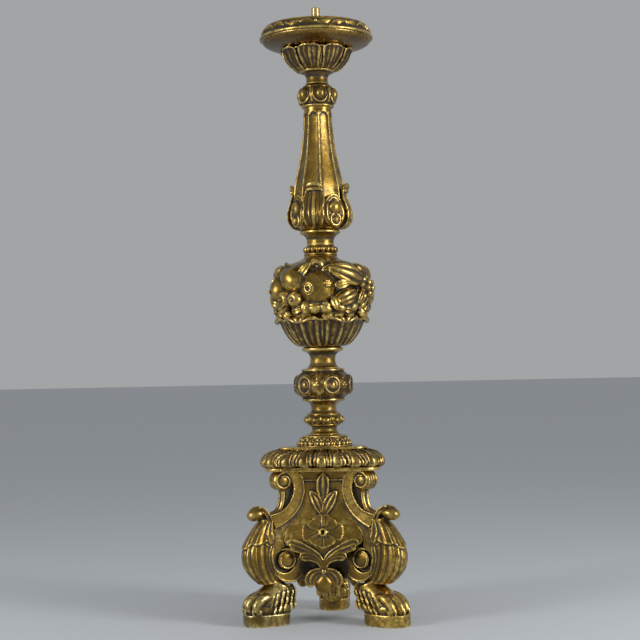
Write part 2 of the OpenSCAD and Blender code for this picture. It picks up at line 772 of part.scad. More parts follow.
module leaf_cup() {
    z = cup_z;
    top = pan_z;
    color(GOLD) difference() {
        union() {
            turned(concat(
                [[19, z]], bezier([18, z + 2], [17.5, z + 7], [18, z + 12], [24, z + 17], 8),
                arc([26.5, z + 21], 2.8, -70, 70, 4), [[26, z + 28], [42, z + 38], [42, top]]));
            loft([
                leaf_ring(29, z + 23, 0.5, 0),
                leaf_ring(37, z + 26, 2.5, 0),
                leaf_ring(45, z + 32.5, 3.5, 0),
                leaf_ring(51, z + 39.5, 4, 0),
                leaf_ring(56, z + 43, 4.5, 3),
                leaf_ring(60, z + 44, 5, 6),
                leaf_ring(59, z + 45.5, 5, 6),
                leaf_ring(53, z + 43.5, 3, 4),
                leaf_ring(46, z + 41, 2, 0)
            ]);
            tenon(z);
        }
        socket(top);
    }
}

module drip_pan() {
    z = pan_z;
    rim = pan_z + pan_h;
    color(GOLD) difference() {
        union() {
            turned(concat(
                [[42, z]],
                bezier([44, z + 1], [62, z + 6], [pan_r - 10, z + 10], [pan_r - 3, z + 20], 10),
                arc([pan_r - 2.4, z + 23.5], 2.4, -60, 75, 5),
                [[pan_r - 4, z + 27], [pan_r - 4.6, rim - 8]],
                arc([pan_r - 7, rim - 3], 3, -40, 90, 6),
                arc([pan_r - 11, rim - 3], 3, 90, 180, 5),
                [[pan_r - 15, dish_z + 2], [pan_r - 17, dish_z]]));
            tenon(z);
        }
        translate([0, 0, dish_z - shank_l - tenon_room]) cylinder(r = shank_r + fit_gap, h = shank_l + 10);
        translate([0, 0, dish_z - tube_seat]) cylinder(r = tube_r + seat_room, h = tube_seat + 1);
    }
}

module candle_tube() {
    top = dish_z + tube_h;
    color(BRASS) difference() {
        union() {
            translate([0, 0, dish_z - tube_seat]) cylinder(r = tube_r, h = tube_h + tube_seat);
            translate([0, 0, dish_z - shank_l]) cylinder(r = shank_r, h = shank_l + 1);
        }
        translate([0, 0, dish_z - shank_l - 1]) cylinder(r = tube_bore_r, h = tube_h + shank_l + 2);
    }
}

paw_foot(0);  // paw_foot_1
paw_foot(1);  // paw_foot_2
paw_foot(2);  // paw_foot_3
foot_dowels();
console(0);  // console_1
console(1);  // console_2
console(2);  // console_3
base_panel(0);  // base_panel_1
base_panel(1);  // base_panel_2
base_panel(2);  // base_panel_3
glue_blocks();
fillet_board();
gadroon_board();
cap_board();
bead_collar();
small_knop();
roundel_knop();
spool();
fruit_calyx();
fruit_basket();
bead_ring();
vase_neck();
fluted_shaft();
egg_knop();
leaf_cup();
drip_pan();
candle_tube();
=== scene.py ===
"""Torchere candle stand: carved, gessoed and gilded wood with a brass candle tube.

Shapes are modelled in millimetres round the stem's axis and brought to metres when they
are finished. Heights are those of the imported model, with the floor at zero.
"""

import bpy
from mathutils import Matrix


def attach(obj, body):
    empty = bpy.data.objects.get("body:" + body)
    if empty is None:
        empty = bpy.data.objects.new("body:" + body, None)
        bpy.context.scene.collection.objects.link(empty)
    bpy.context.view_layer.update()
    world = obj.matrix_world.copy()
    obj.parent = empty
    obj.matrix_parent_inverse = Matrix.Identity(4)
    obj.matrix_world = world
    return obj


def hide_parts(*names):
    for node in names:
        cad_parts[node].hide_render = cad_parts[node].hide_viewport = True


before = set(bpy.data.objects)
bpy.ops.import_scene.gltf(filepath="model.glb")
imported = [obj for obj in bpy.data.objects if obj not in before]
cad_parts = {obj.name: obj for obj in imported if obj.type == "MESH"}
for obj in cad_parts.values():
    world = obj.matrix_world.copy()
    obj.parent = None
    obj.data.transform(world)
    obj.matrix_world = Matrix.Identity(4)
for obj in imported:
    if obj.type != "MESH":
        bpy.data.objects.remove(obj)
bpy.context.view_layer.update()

import logging
import math
from dataclasses import dataclass
from enum import Enum
from functools import cache, reduce
from typing import Callable, Sequence

import bpy
import numpy as np
from mathutils import Matrix, Vector

LOG = logging.getLogger("torchere")
TAU = 2 * math.pi
MM = 0.001
FINE_FACES = 30000
THINNING = 0.6
CARVING_REACH = {"carve_near": (6, 0.35), "carve_wide": (60, 1.3)}
LEG_ANGLES = (210, 330, 90)
PANEL_ANGLES = (270, 30, 150)

Piece = bpy.types.Object
Rows = Sequence[Sequence[float]]
Outline = list[tuple[float, float]]
Rule = Callable[[np.ndarray, np.ndarray], np.ndarray]


# ---- outlines

def arc(centre: tuple[float, float], radius: float, start: float, end: float, steps: int = 10) -> Outline:
    """Points along a circular arc.

    Args:
        centre: Middle of the circle.
        radius: Radius of the circle.
        start: First angle in degrees.
        end: Last angle in degrees.
        steps: Number of chords.

    Returns:
        The points in order.
    """
    angles = np.radians(np.linspace(start, end, steps + 1))
    return [(centre[0] + radius * math.cos(a), centre[1] + radius * math.sin(a)) for a in angles]


def flowing(points: Rows, steps: int = 10) -> np.ndarray:
    """A smooth curve through points.

    Args:
        points: Points of any dimension, in order.
        steps: Samples between two neighbours.

    Returns:
        The samples as rows.
    """
    p = np.array(points, float)
    p = np.vstack([2 * p[0] - p[1], p, 2 * p[-1] - p[-2]])
    rows = []
    for i in range(1, len(p) - 2):
        for t in np.arange(steps) / steps:
            a, b, c, d = p[i - 1], p[i], p[i + 1], p[i + 2]
            rows.append(0.5 * (2 * b + (c - a) * t + (2 * a - 5 * b + 4 * c - d) * t * t
                               + (3 * b - a - 3 * c + d) * t ** 3))
    rows.append(p[-2])
    return np.array(rows)


def curve2(points: Rows, steps: int = 8) -> Outline:
    """A smooth outline through points."""
    return [tuple(row) for row in flowing(points, steps)]


def refined(outline: Rows, step: float) -> np.ndarray:
    """An outline with points added so that no side is longer than a step.

    Args:
        outline: The outline's corners.
        step: Longest side allowed.

    Returns:
        The points as rows.
    """
    rows = [np.array(outline[0], float)]
    for a, b in zip(outline, outline[1:]):
        a, b = np.array(a, float), np.array(b, float)
        n = max(1, math.ceil(np.linalg.norm(b - a) / step))
        rows += [a + (b - a) * k / n for k in range(1, n + 1)]
    return np.array(rows)


def eased(t: np.ndarray, low: float, high: float) -> np.ndarray:
    """Rises smoothly from 0 at low to 1 at high."""
    x = np.clip((t - low) / (high - low), 0, 1)
    return x * x * (3 - 2 * x)


def hump(x: np.ndarray, width: float) -> np.ndarray:
    """A rounded ridge of height 1 at x = 0."""
    return np.exp(-(x / width) ** 2)


def unit(rows: np.ndarray) -> np.ndarray:
    """The rows brought to length 1."""
    return rows / np.linalg.norm(rows, axis=1)[:, None]


def sampled(rows: np.ndarray, t: np.ndarray) -> np.ndarray:
    """Rows read off at shares of their whole run."""
    share = np.linspace(0, 1, len(rows))
    return np.column_stack([np.interp(t, share, column) for column in rows.T])


def rotation(degrees: float, axis: str = "Z") -> Matrix:
    """A turn about an axis."""
    return Matrix.Rotation(math.radians(degrees), 4, axis)


def compass(degrees: float) -> tuple[np.ndarray, np.ndarray]:
    """The directions outwards and sideways at an azimuth."""
    a = math.radians(degrees)
    return np.array([math.cos(a), math.sin(a), 0]), np.array([-math.sin(a), math.cos(a), 0])


# ---- modelling steps

def pick(*objects: Piece) -> None:
    """Selects these objects alone and makes the first one active."""
    bpy.ops.object.select_all(action="DESELECT")
    for obj in objects:
        obj.select_set(True)
    bpy.context.view_layer.objects.active = objects[0]


def rows_of(mesh: bpy.types.Mesh, key: str = "co") -> np.ndarray:
    """The mesh's points, or their normals, as rows."""
    flat = np.empty(len(mesh.vertices) * 3)
    mesh.vertices.foreach_get(key, flat)
    return flat.reshape(-1, 3)


def points_of(obj: Piece) -> np.ndarray:
    """The object's points as rows."""
    return rows_of(obj.data)


def place(obj: Piece, points: np.ndarray) -> Piece:
    """Moves every point of the mesh to a new place."""
    obj.data.vertices.foreach_set("co", np.ascontiguousarray(points, float).ravel())
    obj.data.update()
    return obj


def turn_points(points: np.ndarray, degrees: float) -> np.ndarray:
    """Points turned about the stem's axis."""
    return points @ np.array(rotation(degrees).to_3x3()).T


def started(name: str, add: Callable[..., object], **settings: object) -> Piece:
    """Adds a primitive with nothing else selected, and names it."""
    bpy.ops.object.select_all(action="DESELECT")
    add(**settings)
    obj = bpy.context.object
    obj.name = name
    return obj


def twin_of(obj: Piece) -> Piece:
    """A copy of the piece with its own mesh."""
    twin = obj.copy()
    twin.data = obj.data.copy()
    bpy.context.scene.collection.objects.link(twin)
    return twin


def mend(obj: Piece) -> Piece:
    """Merges doubled points and turns the faces outwards."""
    pick(obj)
    bpy.ops.object.mode_set(mode="EDIT")
    bpy.ops.mesh.select_all(action="SELECT")
    bpy.ops.mesh.remove_doubles(threshold=0.002)
    bpy.ops.mesh.normals_make_consistent(inside=False)
    bpy.ops.object.mode_set(mode="OBJECT")
    return obj


def turned(name: str, outline: Rows, steps: int = 192, step: float = 1.5, closed: bool = False,
           seat: float = 0.0) -> Piece:
    """Spins an outline of radius and height round the stem's axis.

    Args:
        name: The new object's name.
        outline: Points of radius and height over the seat.
        steps: Faces round the axis.
        step: Longest face along the outline.
        closed: True for a ring whose outline is a loop.
        seat: Height that the outline stands on.

    Returns:
        The closed solid.
    """
    outline = [(r, seat + high) for r, high in outline]
    ends = outline if closed else [(0, outline[0][1]), *outline, (0, outline[-1][1])]
    points = refined(ends + [ends[0]], step)[:-1] if closed else refined(ends, step)
    obj = started(name, bpy.ops.mesh.primitive_circle_add, vertices=len(points), radius=10)
    place(obj, np.column_stack([points[:, 0], 0 * points[:, 0], points[:, 1]]))
    last = {0, len(points) - 1}
    for edge in obj.data.edges:
        edge.select = not closed and set(edge.vertices) == last
    for vertex in obj.data.vertices:
        vertex.select = not closed and vertex.index in last
    bpy.ops.object.mode_set(mode="EDIT")
    if not closed:
        bpy.ops.mesh.select_mode(type="EDGE")
        bpy.ops.mesh.delete(type="EDGE")
        bpy.ops.mesh.select_mode(type="VERT")
    bpy.ops.mesh.select_all(action="SELECT")
    bpy.ops.mesh.spin(steps=steps, angle=TAU, center=(0, 0, 0), axis=(0, 0, 1))
    bpy.ops.object.mode_set(mode="OBJECT")
    return mend(obj)


def draped(name: str, across: int, along: int, rule: Rule) -> Piece:
    """A grid whose points are placed by a rule of two shares from 0 to 1.

    Args:
        name: The new object's name.
        across: Faces across.
        along: Faces along.
        rule: Gives a row of x, y, z for each pair of shares.

    Returns:
        The open sheet.
    """
    obj = started(name, bpy.ops.mesh.primitive_grid_add, x_subdivisions=across, y_subdivisions=along, size=1)
    p = points_of(obj)
    return place(obj, rule(p[:, 0] + 0.5, p[:, 1] + 0.5))


def seated(obj: Piece, points: np.ndarray, turn: Matrix | None,
           centre: Sequence[float]) -> Piece:
    """Gives the object new points, turned about the origin and carried to their middle."""
    if turn is not None:
        points = points @ np.array(turn.to_3x3()).T
    return place(obj, points + np.array(centre))


def ball(name: str, centre: Sequence[float], radii: Sequence[float] | float, turn: Matrix | None = None,
         segments: int = 28, rule: Callable[[np.ndarray], np.ndarray] | None = None) -> Piece:
    """A sphere drawn out into an egg or fruit.

    Args:
        name: The new object's name.
        centre: Its middle.
        radii: Its three half lengths, or one radius.
        turn: A turn about its own middle.
        segments: Faces round it.
        rule: Reshapes the points of the unit sphere first.

    Returns:
        The closed solid.
    """
    obj = started(name, bpy.ops.mesh.primitive_uv_sphere_add, segments=segments,
        ring_count=max(8, segments * 2 // 3), radius=1)
    p = points_of(obj)
    return seated(obj, (rule(p) if rule else p) * np.array(radii), turn, centre)


def hoop(name: str, centre: Sequence[float], major: float, minor: float, stretch: Sequence[float] = (1, 1, 1),
         turn: Matrix | None = None, segments: int = 48) -> Piece:
    """A round ring, stretched and turned about its middle."""
    obj = started(name, bpy.ops.mesh.primitive_torus_add, major_radius=major, minor_radius=minor,
        major_segments=segments, minor_segments=12)
    return seated(obj, points_of(obj) * np.array(stretch), turn, centre)


def swept(name: str, path: np.ndarray, radius: Sequence[float], facing: Sequence[float] | None = None,
          flat: float = 1.0, sides: int = 14) -> Piece:
    """A rounded strip along a path, thick or thin from place to place.

    Args:
        name: The new object's name.
        path: Points along the strip's middle.
        radius: Half widths, spread evenly along the path.
        facing: The direction the strip's broad side faces, or None to face the axis's outside.
        flat: Its half height as a share of its half width.
        sides: Faces round the strip.

    Returns:
        The closed solid.
    """
    n = len(path)
    ahead = unit(np.gradient(path, axis=0))
    out = np.tile(np.array(facing, float), (n, 1)) if facing is not None else path * (1, 1, 0)
    side = unit(np.cross(ahead, out))
    up = np.cross(side, ahead)
    half = np.interp(np.linspace(0, 1, n), np.linspace(0, 1, len(radius)), radius)

    def rule(u: np.ndarray, v: np.ndarray) -> np.ndarray:
        i = np.clip(np.rint(v * (n - 1)).astype(int), 0, n - 1)
        a = u * TAU
        return (path[i] + side[i] * (half[i] * np.cos(a))[:, None] + up[i] * (half[i] * flat * np.sin(a))[:, None])

    return capped(draped(name, sides, n - 1, rule))


def capped(obj: Piece) -> Piece:
    """Joins a tube's seam and fills its open ends."""
    mend(obj)
    bpy.ops.object.mode_set(mode="EDIT")
    bpy.ops.mesh.select_all(action="DESELECT")
    bpy.ops.mesh.select_non_manifold()
    bpy.ops.mesh.edge_face_add()
    bpy.ops.mesh.select_all(action="SELECT")
    bpy.ops.mesh.fill_holes(sides=0)
    bpy.ops.mesh.normals_make_consistent(inside=False)
    bpy.ops.object.mode_set(mode="OBJECT")
    return obj


def slab(name: str, outline: Rows, thickness: float, bevel: float = 0.0) -> Piece:
    """A flat board cut to an outline in x and z, from y = -thickness/2 to thickness/2.

    Args:
        name: The new object's name.
        outline: Points of x and z.
        thickness: The board's thickness.
        bevel: Width of its rounded edges.

    Returns:
        The closed solid.
    """
    points = np.array(outline, float)
    obj = started(name, bpy.ops.mesh.primitive_circle_add, vertices=len(points), radius=10, fill_type="NGON")
    place(obj, np.column_stack([points[:, 0], 0 * points[:, 0] - thickness / 2, points[:, 1]]))
    bpy.ops.object.mode_set(mode="EDIT")
    bpy.ops.mesh.select_all(action="SELECT")
    bpy.ops.mesh.extrude_region_move(TRANSFORM_OT_translate={"value": (0, thickness, 0)})
    bpy.ops.mesh.select_all(action="SELECT")
    bpy.ops.mesh.normals_make_consistent(inside=False)
    bpy.ops.object.mode_set(mode="OBJECT")
    if bevel:
        worked(obj, "BEVEL", width=bevel, segments=3, limit_method="ANGLE", angle_limit=math.radians(50))
    return obj


def worked(obj: Piece, kind: str, **settings: object) -> Piece:
    """Adds a modifier with its settings and applies it."""
    pick(obj)
    modifier = obj.modifiers.new(kind.title(), kind)
    for key, value in settings.items():
        setattr(modifier, key, value)
    bpy.ops.object.modifier_apply(modifier=modifier.name)
    return obj


def ringed(count: int, *pieces: Piece) -> list[Piece]:
    """The pieces and their copies, spread evenly round the stem's axis."""
    rings = []
    for piece in pieces:
        p = points_of(piece)
        rings += [piece, *(place(twin_of(piece), turn_points(p, 360 * k / count)) for k in range(1, count))]
    return rings


def joined(name: str, parts: Sequence[Piece]) -> Piece:
    """Joins parts into one object without changing their faces."""
    pick(*parts)
    if len(parts) > 1:
        bpy.ops.object.join()
    obj = bpy.context.view_layer.objects.active
    obj.name = name
    return obj


def fused(name: str, parts: Sequence[Piece], voxel: float = 1.0, soften: int = 3) -> Piece:
    """Joins closed parts into one carved skin, as gesso joins them.

    Args:
        name: The new object's name.
        parts: Closed solids that overlap.
        voxel: Size of the skin's faces.
        soften: Smoothing steps.

    Returns:
        The fused solid.
    """
    obj = joined(name, parts)
    worked(obj, "REMESH", mode="VOXEL", voxel_size=voxel)
    if soften:
        worked(obj, "SMOOTH", factor=0.5, iterations=soften)
    return obj


@dataclass
class Leaf:
    """A carved leaf: a lobed sheet with a rib, veins and a raised edge.

    The spine is given as points of radius and height over the seat for a leaf on the stem, or as
    x, y, z for a leaf that lies on a flat face.
    """

    spine: Rows
    widths: Sequence[tuple[float, float]]
    thickness: float = 4.0
    rib: float = 1.2
    rim: float = 1.0
    vein: float = 0.8
    veins: float = 2.5
    lobes: float = 0.0
    lobe_depth: float = 0.18
    cup: float = 0.0
    across: int = 36
    along: int = 60
    seat: float = 0.0

    def half_width(self, t: np.ndarray, s: np.ndarray) -> np.ndarray:
        """Half the leaf's width at a share of its length, drawn in between its lobes."""
        w = flowing(self.widths, 12)
        half = np.interp(t, w[:, 0], w[:, 1])
        if self.lobes:
            notch = (1 - np.abs(np.sin(math.pi * self.lobes * t))) ** 2
            half = half * (1 - self.lobe_depth * notch * s ** 4)
        return half

    def relief(self, t: np.ndarray, s: np.ndarray) -> np.ndarray:
        """Height of the carving over the leaf's plain face."""
        edge = np.abs(s)
        fade = eased(t, 0.0, 0.12) * (1 - 0.6 * eased(t, 0.85, 1.0))
        grooves = 0.5 - 0.5 * np.cos(TAU * self.veins * edge)
        return fade * (self.rib * hump(s, 0.10) + self.rim * hump(edge - 0.93, 0.09)
                       - self.vein * grooves * (1 - hump(edge - 1, 0.12))) + self.cup * s ** 2

    def on_stem(self, name: str, azimuth: float = 0.0) -> Piece:
        """Builds the leaf on the stem, facing outwards.

        Args:
            name: The new object's name.
            azimuth: Direction it faces, in degrees.

        Returns:
            The closed leaf.
        """
        spine = flowing([(r, self.seat + high) for r, high in self.spine], 12)
        ahead = unit(np.gradient(spine, axis=0))

        def rule(u: np.ndarray, t: np.ndarray) -> np.ndarray:
            s = 2 * u - 1
            (r, z), (out, rise) = sampled(spine, t).T, sampled(ahead, t).T
            high = self.relief(t, s)
            angle = s * self.half_width(t, s) / np.maximum(r, 1) + math.radians(azimuth)
            r = r + rise * high
            return np.column_stack([r * np.cos(angle), r * np.sin(angle), z - out * high])

        return self._thickened(draped(name, self.across, self.along, rule))

    def on_face(self, name: str, facing: Sequence[float] = (0, -1, 0)) -> Piece:
        """Builds the leaf on a flat face.

        Args:
            name: The new object's name.
            facing: The direction the face looks.

        Returns:
            The closed leaf.
        """
        spine = flowing(self.spine, 12)
        ahead = unit(np.gradient(spine, axis=0))
        side = unit(np.cross(ahead, np.array(facing, float)))
        up = np.cross(side, ahead)

        def rule(u: np.ndarray, t: np.ndarray) -> np.ndarray:
            s = 2 * u - 1
            return (sampled(spine, t) + sampled(side, t) * (s * self.half_width(t, s))[:, None]
                    + sampled(up, t) * self.relief(t, s)[:, None])

        return self._thickened(draped(name, self.across, self.along, rule))

    def _thickened(self, sheet: Piece) -> Piece:
        """Gives the open sheet its thickness on both sides."""
        return worked(sheet, "SOLIDIFY", thickness=self.thickness, offset=0)


# ---- finishes

class Slot(Enum):
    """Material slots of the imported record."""

    GILT = "gilt_wood"
    BRASS = "tube_brass"


class Graph:
    """Builds a node tree step by step."""

    def __init__(self, tree: bpy.types.NodeTree) -> None:
        """Starts on a tree emptied of nodes."""
        self.tree = tree
        tree.nodes.clear()

    def add(self, kind: str, inputs: dict | None = None, **settings: object) -> bpy.types.Node:
        """Adds a node.

        Args:
            kind: The node's type, without its ShaderNode prefix.
            inputs: A value or an output socket for each input, by name or number.
            **settings: Properties of the node.

        Returns:
            The node.
        """
        node = self.tree.nodes.new(kind if kind.startswith("Node") else "ShaderNode" + kind)
        for key, value in settings.items():
            setattr(node, key, value)
        for key, value in (inputs or {}).items():
            self.feed(node.inputs[key], value)
        return node

    def feed(self, socket: bpy.types.NodeSocket, value: object) -> None:
        """Links an output to a socket, or sets the socket's own value."""
        if isinstance(value, bpy.types.NodeSocket):
            self.tree.links.new(value, socket)
        else:
            socket.default_value = value

    def math(self, operation: str, *values: object, mask: bool = True) -> bpy.types.NodeSocket:
        """The result of a Math node, kept between 0 and 1 where it multiplies masks."""
        node = self.add("Math", operation=operation, use_clamp=mask and operation.startswith("MULTIPLY"))
        for k, value in enumerate(values):
            self.feed(node.inputs[k], value)
        return node.outputs[0]

    def times(self, *masks: object) -> bpy.types.NodeSocket:
        """The product of masks."""
        return reduce(lambda first, second: self.math("MULTIPLY", first, second), masks)

    def blend(self, share: object, first: object, second: object) -> bpy.types.NodeSocket:
        """Mixes two colours by a mask."""
        node = self.add("Mix", data_type="RGBA")
        self.feed(node.inputs[0], share)
        self.feed(node.inputs[6], first)
        self.feed(node.inputs[7], second)
        return node.outputs[2]

    def ramp(self, value: object, low: float, high: float, to_low: float = 0.0,
             to_high: float = 1.0) -> bpy.types.NodeSocket:
        """Spreads a range of a value smoothly over another range."""
        node = self.add("MapRange", interpolation_type="SMOOTHSTEP")
        for k, number in enumerate((value, low, high, to_low, to_high)):
            self.feed(node.inputs[k], number)
        return node.outputs[0]

    def noise(self, where: object, scale: float, detail: float = 4.0,
              roughness: float = 0.55) -> bpy.types.NodeSocket:
        """The height of a noise texture."""
        return self.add("TexNoise", {"Vector": where, "Scale": scale, "Detail": detail,
                                     "Roughness": roughness}).outputs[0]


def rgba(r: float, g: float, b: float) -> tuple[float, float, float, float]:
    """An opaque colour."""
    return (r, g, b, 1.0)


def started_group(name: str, inputs: dict[str, float],
                  outputs: Sequence[str]) -> tuple[Graph, bpy.types.Node, bpy.types.NodeSocket]:
    """Starts a shared node group.

    Args:
        name: The group's name.
        inputs: Its number inputs with their defaults.
        outputs: Its number outputs.

    Returns:
        The graph, its input node and the Object coordinates.
    """
    tree = bpy.data.node_groups.new(name, "ShaderNodeTree")
    for socket, value in inputs.items():
        tree.interface.new_socket(socket, in_out="INPUT", socket_type="NodeSocketFloat").default_value = value
    for socket in outputs:
        tree.interface.new_socket(socket, in_out="OUTPUT", socket_type="NodeSocketFloat")
    graph = Graph(tree)
    return graph, graph.add("NodeGroupInput"), graph.add("TexCoord").outputs["Object"]


@cache
def wear_and_shading_group() -> bpy.types.NodeTree:
    """Masks of hollows, which take brown toning and painted shade, of crests, which are rubbed and take painted
    highlights, and of settled dust, read from a piece's carving.

    Returns:
        The shared node group.
    """
    graph, given, where = started_group("carving_wear_and_shading", {"Breakup": 1.0, "Depth": 1.0}, ("Hollow", "Crest", "Dust"))
    near, wide = (graph.add("Attribute", attribute_name=name).outputs["Fac"] for name in CARVING_REACH)
    mottle = graph.noise(where, 85.0, 5.0, 0.6)
    uneven = graph.math("MULTIPLY", graph.math("SUBTRACT", mottle, 0.5), given.outputs["Breakup"], mask=False)
    depth = graph.math("ADD", graph.math("ADD", near, wide), uneven)
    deep = graph.math("MULTIPLY", depth, given.outputs["Depth"], mask=False)
    up = graph.add("SeparateXYZ", {0: graph.add("NewGeometry").outputs["Normal"]}).outputs[2]
    settled = graph.times(graph.ramp(up, 0.35, 0.95), graph.ramp(mottle, 0.35, 0.75))
    graph.add("NodeGroupOutput", {"Hollow": graph.ramp(deep, 0.0, 0.52), "Crest": graph.ramp(deep, -0.40, -1.30),
        "Dust": settled})
    return graph.tree


@cache
def surface_group() -> bpy.types.NodeTree:
    """The hand-worked surface under any finish: brush marks, pores and a little waviness.

    Returns:
        The shared node group.
    """
    graph, given, where = started_group("worked_surface", {"Wave": 60.0, "Grain": 420.0},
        ("Height", "Mottle", "Speckle"))
    wave = graph.noise(where, given.outputs["Wave"], 3.0, 0.5)
    grain = graph.noise(where, given.outputs["Grain"], 4.0, 0.6)
    speckle = graph.noise(where, 1150.0, 2.0, 0.7)
    high = graph.math("MULTIPLY_ADD", wave, 1.6, grain, mask=False)
    high = graph.math("MULTIPLY_ADD", speckle, 0.35, high, mask=False)
    graph.add("NodeGroupOutput", {"Height": high, "Mottle": wave, "Speckle": speckle})
    return graph.tree


@dataclass(frozen=True)
class Finish:
    """A finish that is painted with nodes in Object coordinates."""

    name: str

    def material(self) -> bpy.types.Material:
        """Builds the material, or finds it if it is there already."""
        if self.name in bpy.data.materials:
            return bpy.data.materials[self.name]
        material = bpy.data.materials.new(self.name)
        material.use_nodes = True
        g = Graph(material.node_tree)
        shader = g.add("BsdfPrincipled", self.painted(g, g.add("TexCoord").outputs["Object"]))
        g.add("OutputMaterial", {"Surface": shader.outputs[0]})
        return material

    def painted(self, g: Graph, where: bpy.types.NodeSocket) -> dict[str, object]:
        """What the shader's sockets are given."""
        raise NotImplementedError


@dataclass(frozen=True)
class GiltFinish(Finish):
    """Water gilding on red bole and gesso, darkened in its hollows by brown toning and painted shade, and rubbed on
    its crests, which also take painted highlights.
    """

    name: str = "antique_gilt"
    leaf_deep: tuple = rgba(0.172, 0.099, 0.013)
    leaf: tuple = rgba(0.47, 0.29, 0.048)
    leaf_rubbed_and_highlit: tuple = rgba(0.88, 0.64, 0.19)
    bole: tuple = rgba(0.17, 0.050, 0.016)
    hollow_umber_and_shade: tuple = rgba(0.014, 0.008, 0.003)
    dust: tuple = rgba(0.20, 0.16, 0.095)
    gesso: tuple = rgba(0.78, 0.74, 0.66)
    shine: float = 0.18
    depth: float = 1.0
    bole_wear: float = 0.5
    chips: float = 0.80

    def painted(self, g: Graph, where: bpy.types.NodeSocket) -> dict[str, object]:
        """What the shader's sockets are given."""
        wear = g.add("Group", {"Breakup": 0.9, "Depth": self.depth}, node_tree=wear_and_shading_group())
        hollow, crest, dust = (wear.outputs[k] for k in ("Hollow", "Crest", "Dust"))
        skin = g.add("Group", {"Wave": 70.0, "Grain": 480.0}, node_tree=surface_group())
        clouds = g.noise(where, 13.0, 5.0, 0.6)
        mottle = g.noise(where, 140.0, 4.0, 0.65)
        tone = g.blend(g.ramp(clouds, 0.36, 0.66), self.leaf_deep, self.leaf)
        tone = g.blend(g.times(g.ramp(mottle, 0.42, 0.66), 0.7), tone, self.leaf_deep)
        tone = g.blend(g.times(g.ramp(clouds, 0.50, 0.62), g.ramp(mottle, 0.55, 0.35), 0.65), tone, self.leaf_rubbed_and_highlit)
        # Crests lighter: rubbed gold, and painted highlights.
        tone = g.blend(g.times(crest, g.ramp(mottle, 0.62, 0.40, 0.25), 0.95), tone, self.leaf_rubbed_and_highlit)
        thin = g.times(g.ramp(mottle, 0.52, 0.66), g.ramp(clouds, 0.50, 0.66))
        worn = g.times(g.math("ADD", thin, g.times(crest, 0.35)), self.bole_wear)
        rubbed = g.times(worn, g.ramp(skin.outputs["Speckle"], 0.48, 0.62))
        tone = g.blend(rubbed, tone, self.bole)
        # Hollows darkened: brown toning, and painted shade.
        tone = g.blend(g.times(hollow, 0.93), tone, self.hollow_umber_and_shade)
        tone = g.blend(g.times(dust, hollow, 0.35), tone, self.dust)
        chip_spots = g.noise(where, 31.0, 6.0, 0.72)
        chipped = g.times(g.ramp(chip_spots, self.chips, self.chips + 0.01), g.ramp(crest, 0.0, 0.3))
        tone = g.blend(chipped, tone, self.gesso)
        rough = g.math("MULTIPLY_ADD", mottle, 0.22, self.shine)
        rough = g.math("MULTIPLY_ADD", hollow, 0.35, rough)
        rough = g.math("MULTIPLY_ADD", rubbed, 0.20, rough)
        # Hollows lose their metal for the painted shade, and rubbed spots lose it where the bole shows.
        bare_and_shaded = g.math("ADD", g.times(hollow, 0.85), g.times(rubbed, 0.8))
        metal = g.math("SUBTRACT", 1.0, g.math("MAXIMUM", bare_and_shaded, chipped))
        height = g.math("MULTIPLY_ADD", chipped, -1.5, skin.outputs["Height"], mask=False)
        bump = g.add("Bump", {"Height": height, "Strength": 0.27, "Distance": 0.0006})
        return {"Base Color": tone, "Roughness": rough, "Metallic": metal, "Normal": bump.outputs[0],
            "Coat Weight": 0.30, "Coat Roughness": 0.16}


@dataclass(frozen=True)
class BrassFinish(Finish):
    """Drawn brass, dulled, and darker near its foot."""

    name: str = "tube_brass_dull"
    bright: tuple = rgba(0.80, 0.60, 0.27)
    dull: tuple = rgba(0.36, 0.25, 0.10)
    foot_darkening: tuple = rgba(0.05, 0.035, 0.015)

    def painted(self, g: Graph, where: bpy.types.NodeSocket) -> dict[str, object]:
        """What the shader's sockets are given."""
        skin = g.add("Group", {"Wave": 120.0, "Grain": 900.0}, node_tree=surface_group())
        drawn = g.add("Mapping", {"Vector": where, "Scale": (1.0, 1.0, 0.04)})
        lines = g.noise(drawn.outputs[0], 900.0, 3.0)
        patches = g.noise(where, 90.0, 5.0, 0.65)
        height = g.add("SeparateXYZ", {0: where}).outputs[2]
        tone = g.blend(g.ramp(patches, 0.35, 0.70), self.bright, self.dull)
        # Darker near the tube's foot, where it meets the dish.
        tone = g.blend(g.ramp(height, 0.962, 0.954), tone, self.foot_darkening)
        rough = g.math("MULTIPLY_ADD", patches, 0.30, 0.12)
        fine = g.math("MULTIPLY_ADD", lines, 0.6, skin.outputs["Height"], mask=False)
        bump = g.add("Bump", {"Height": fine, "Strength": 0.15, "Distance": 0.0003})
        return {"Base Color": tone, "Roughness": rough, "Metallic": 1.0, "Normal": bump.outputs[0]}


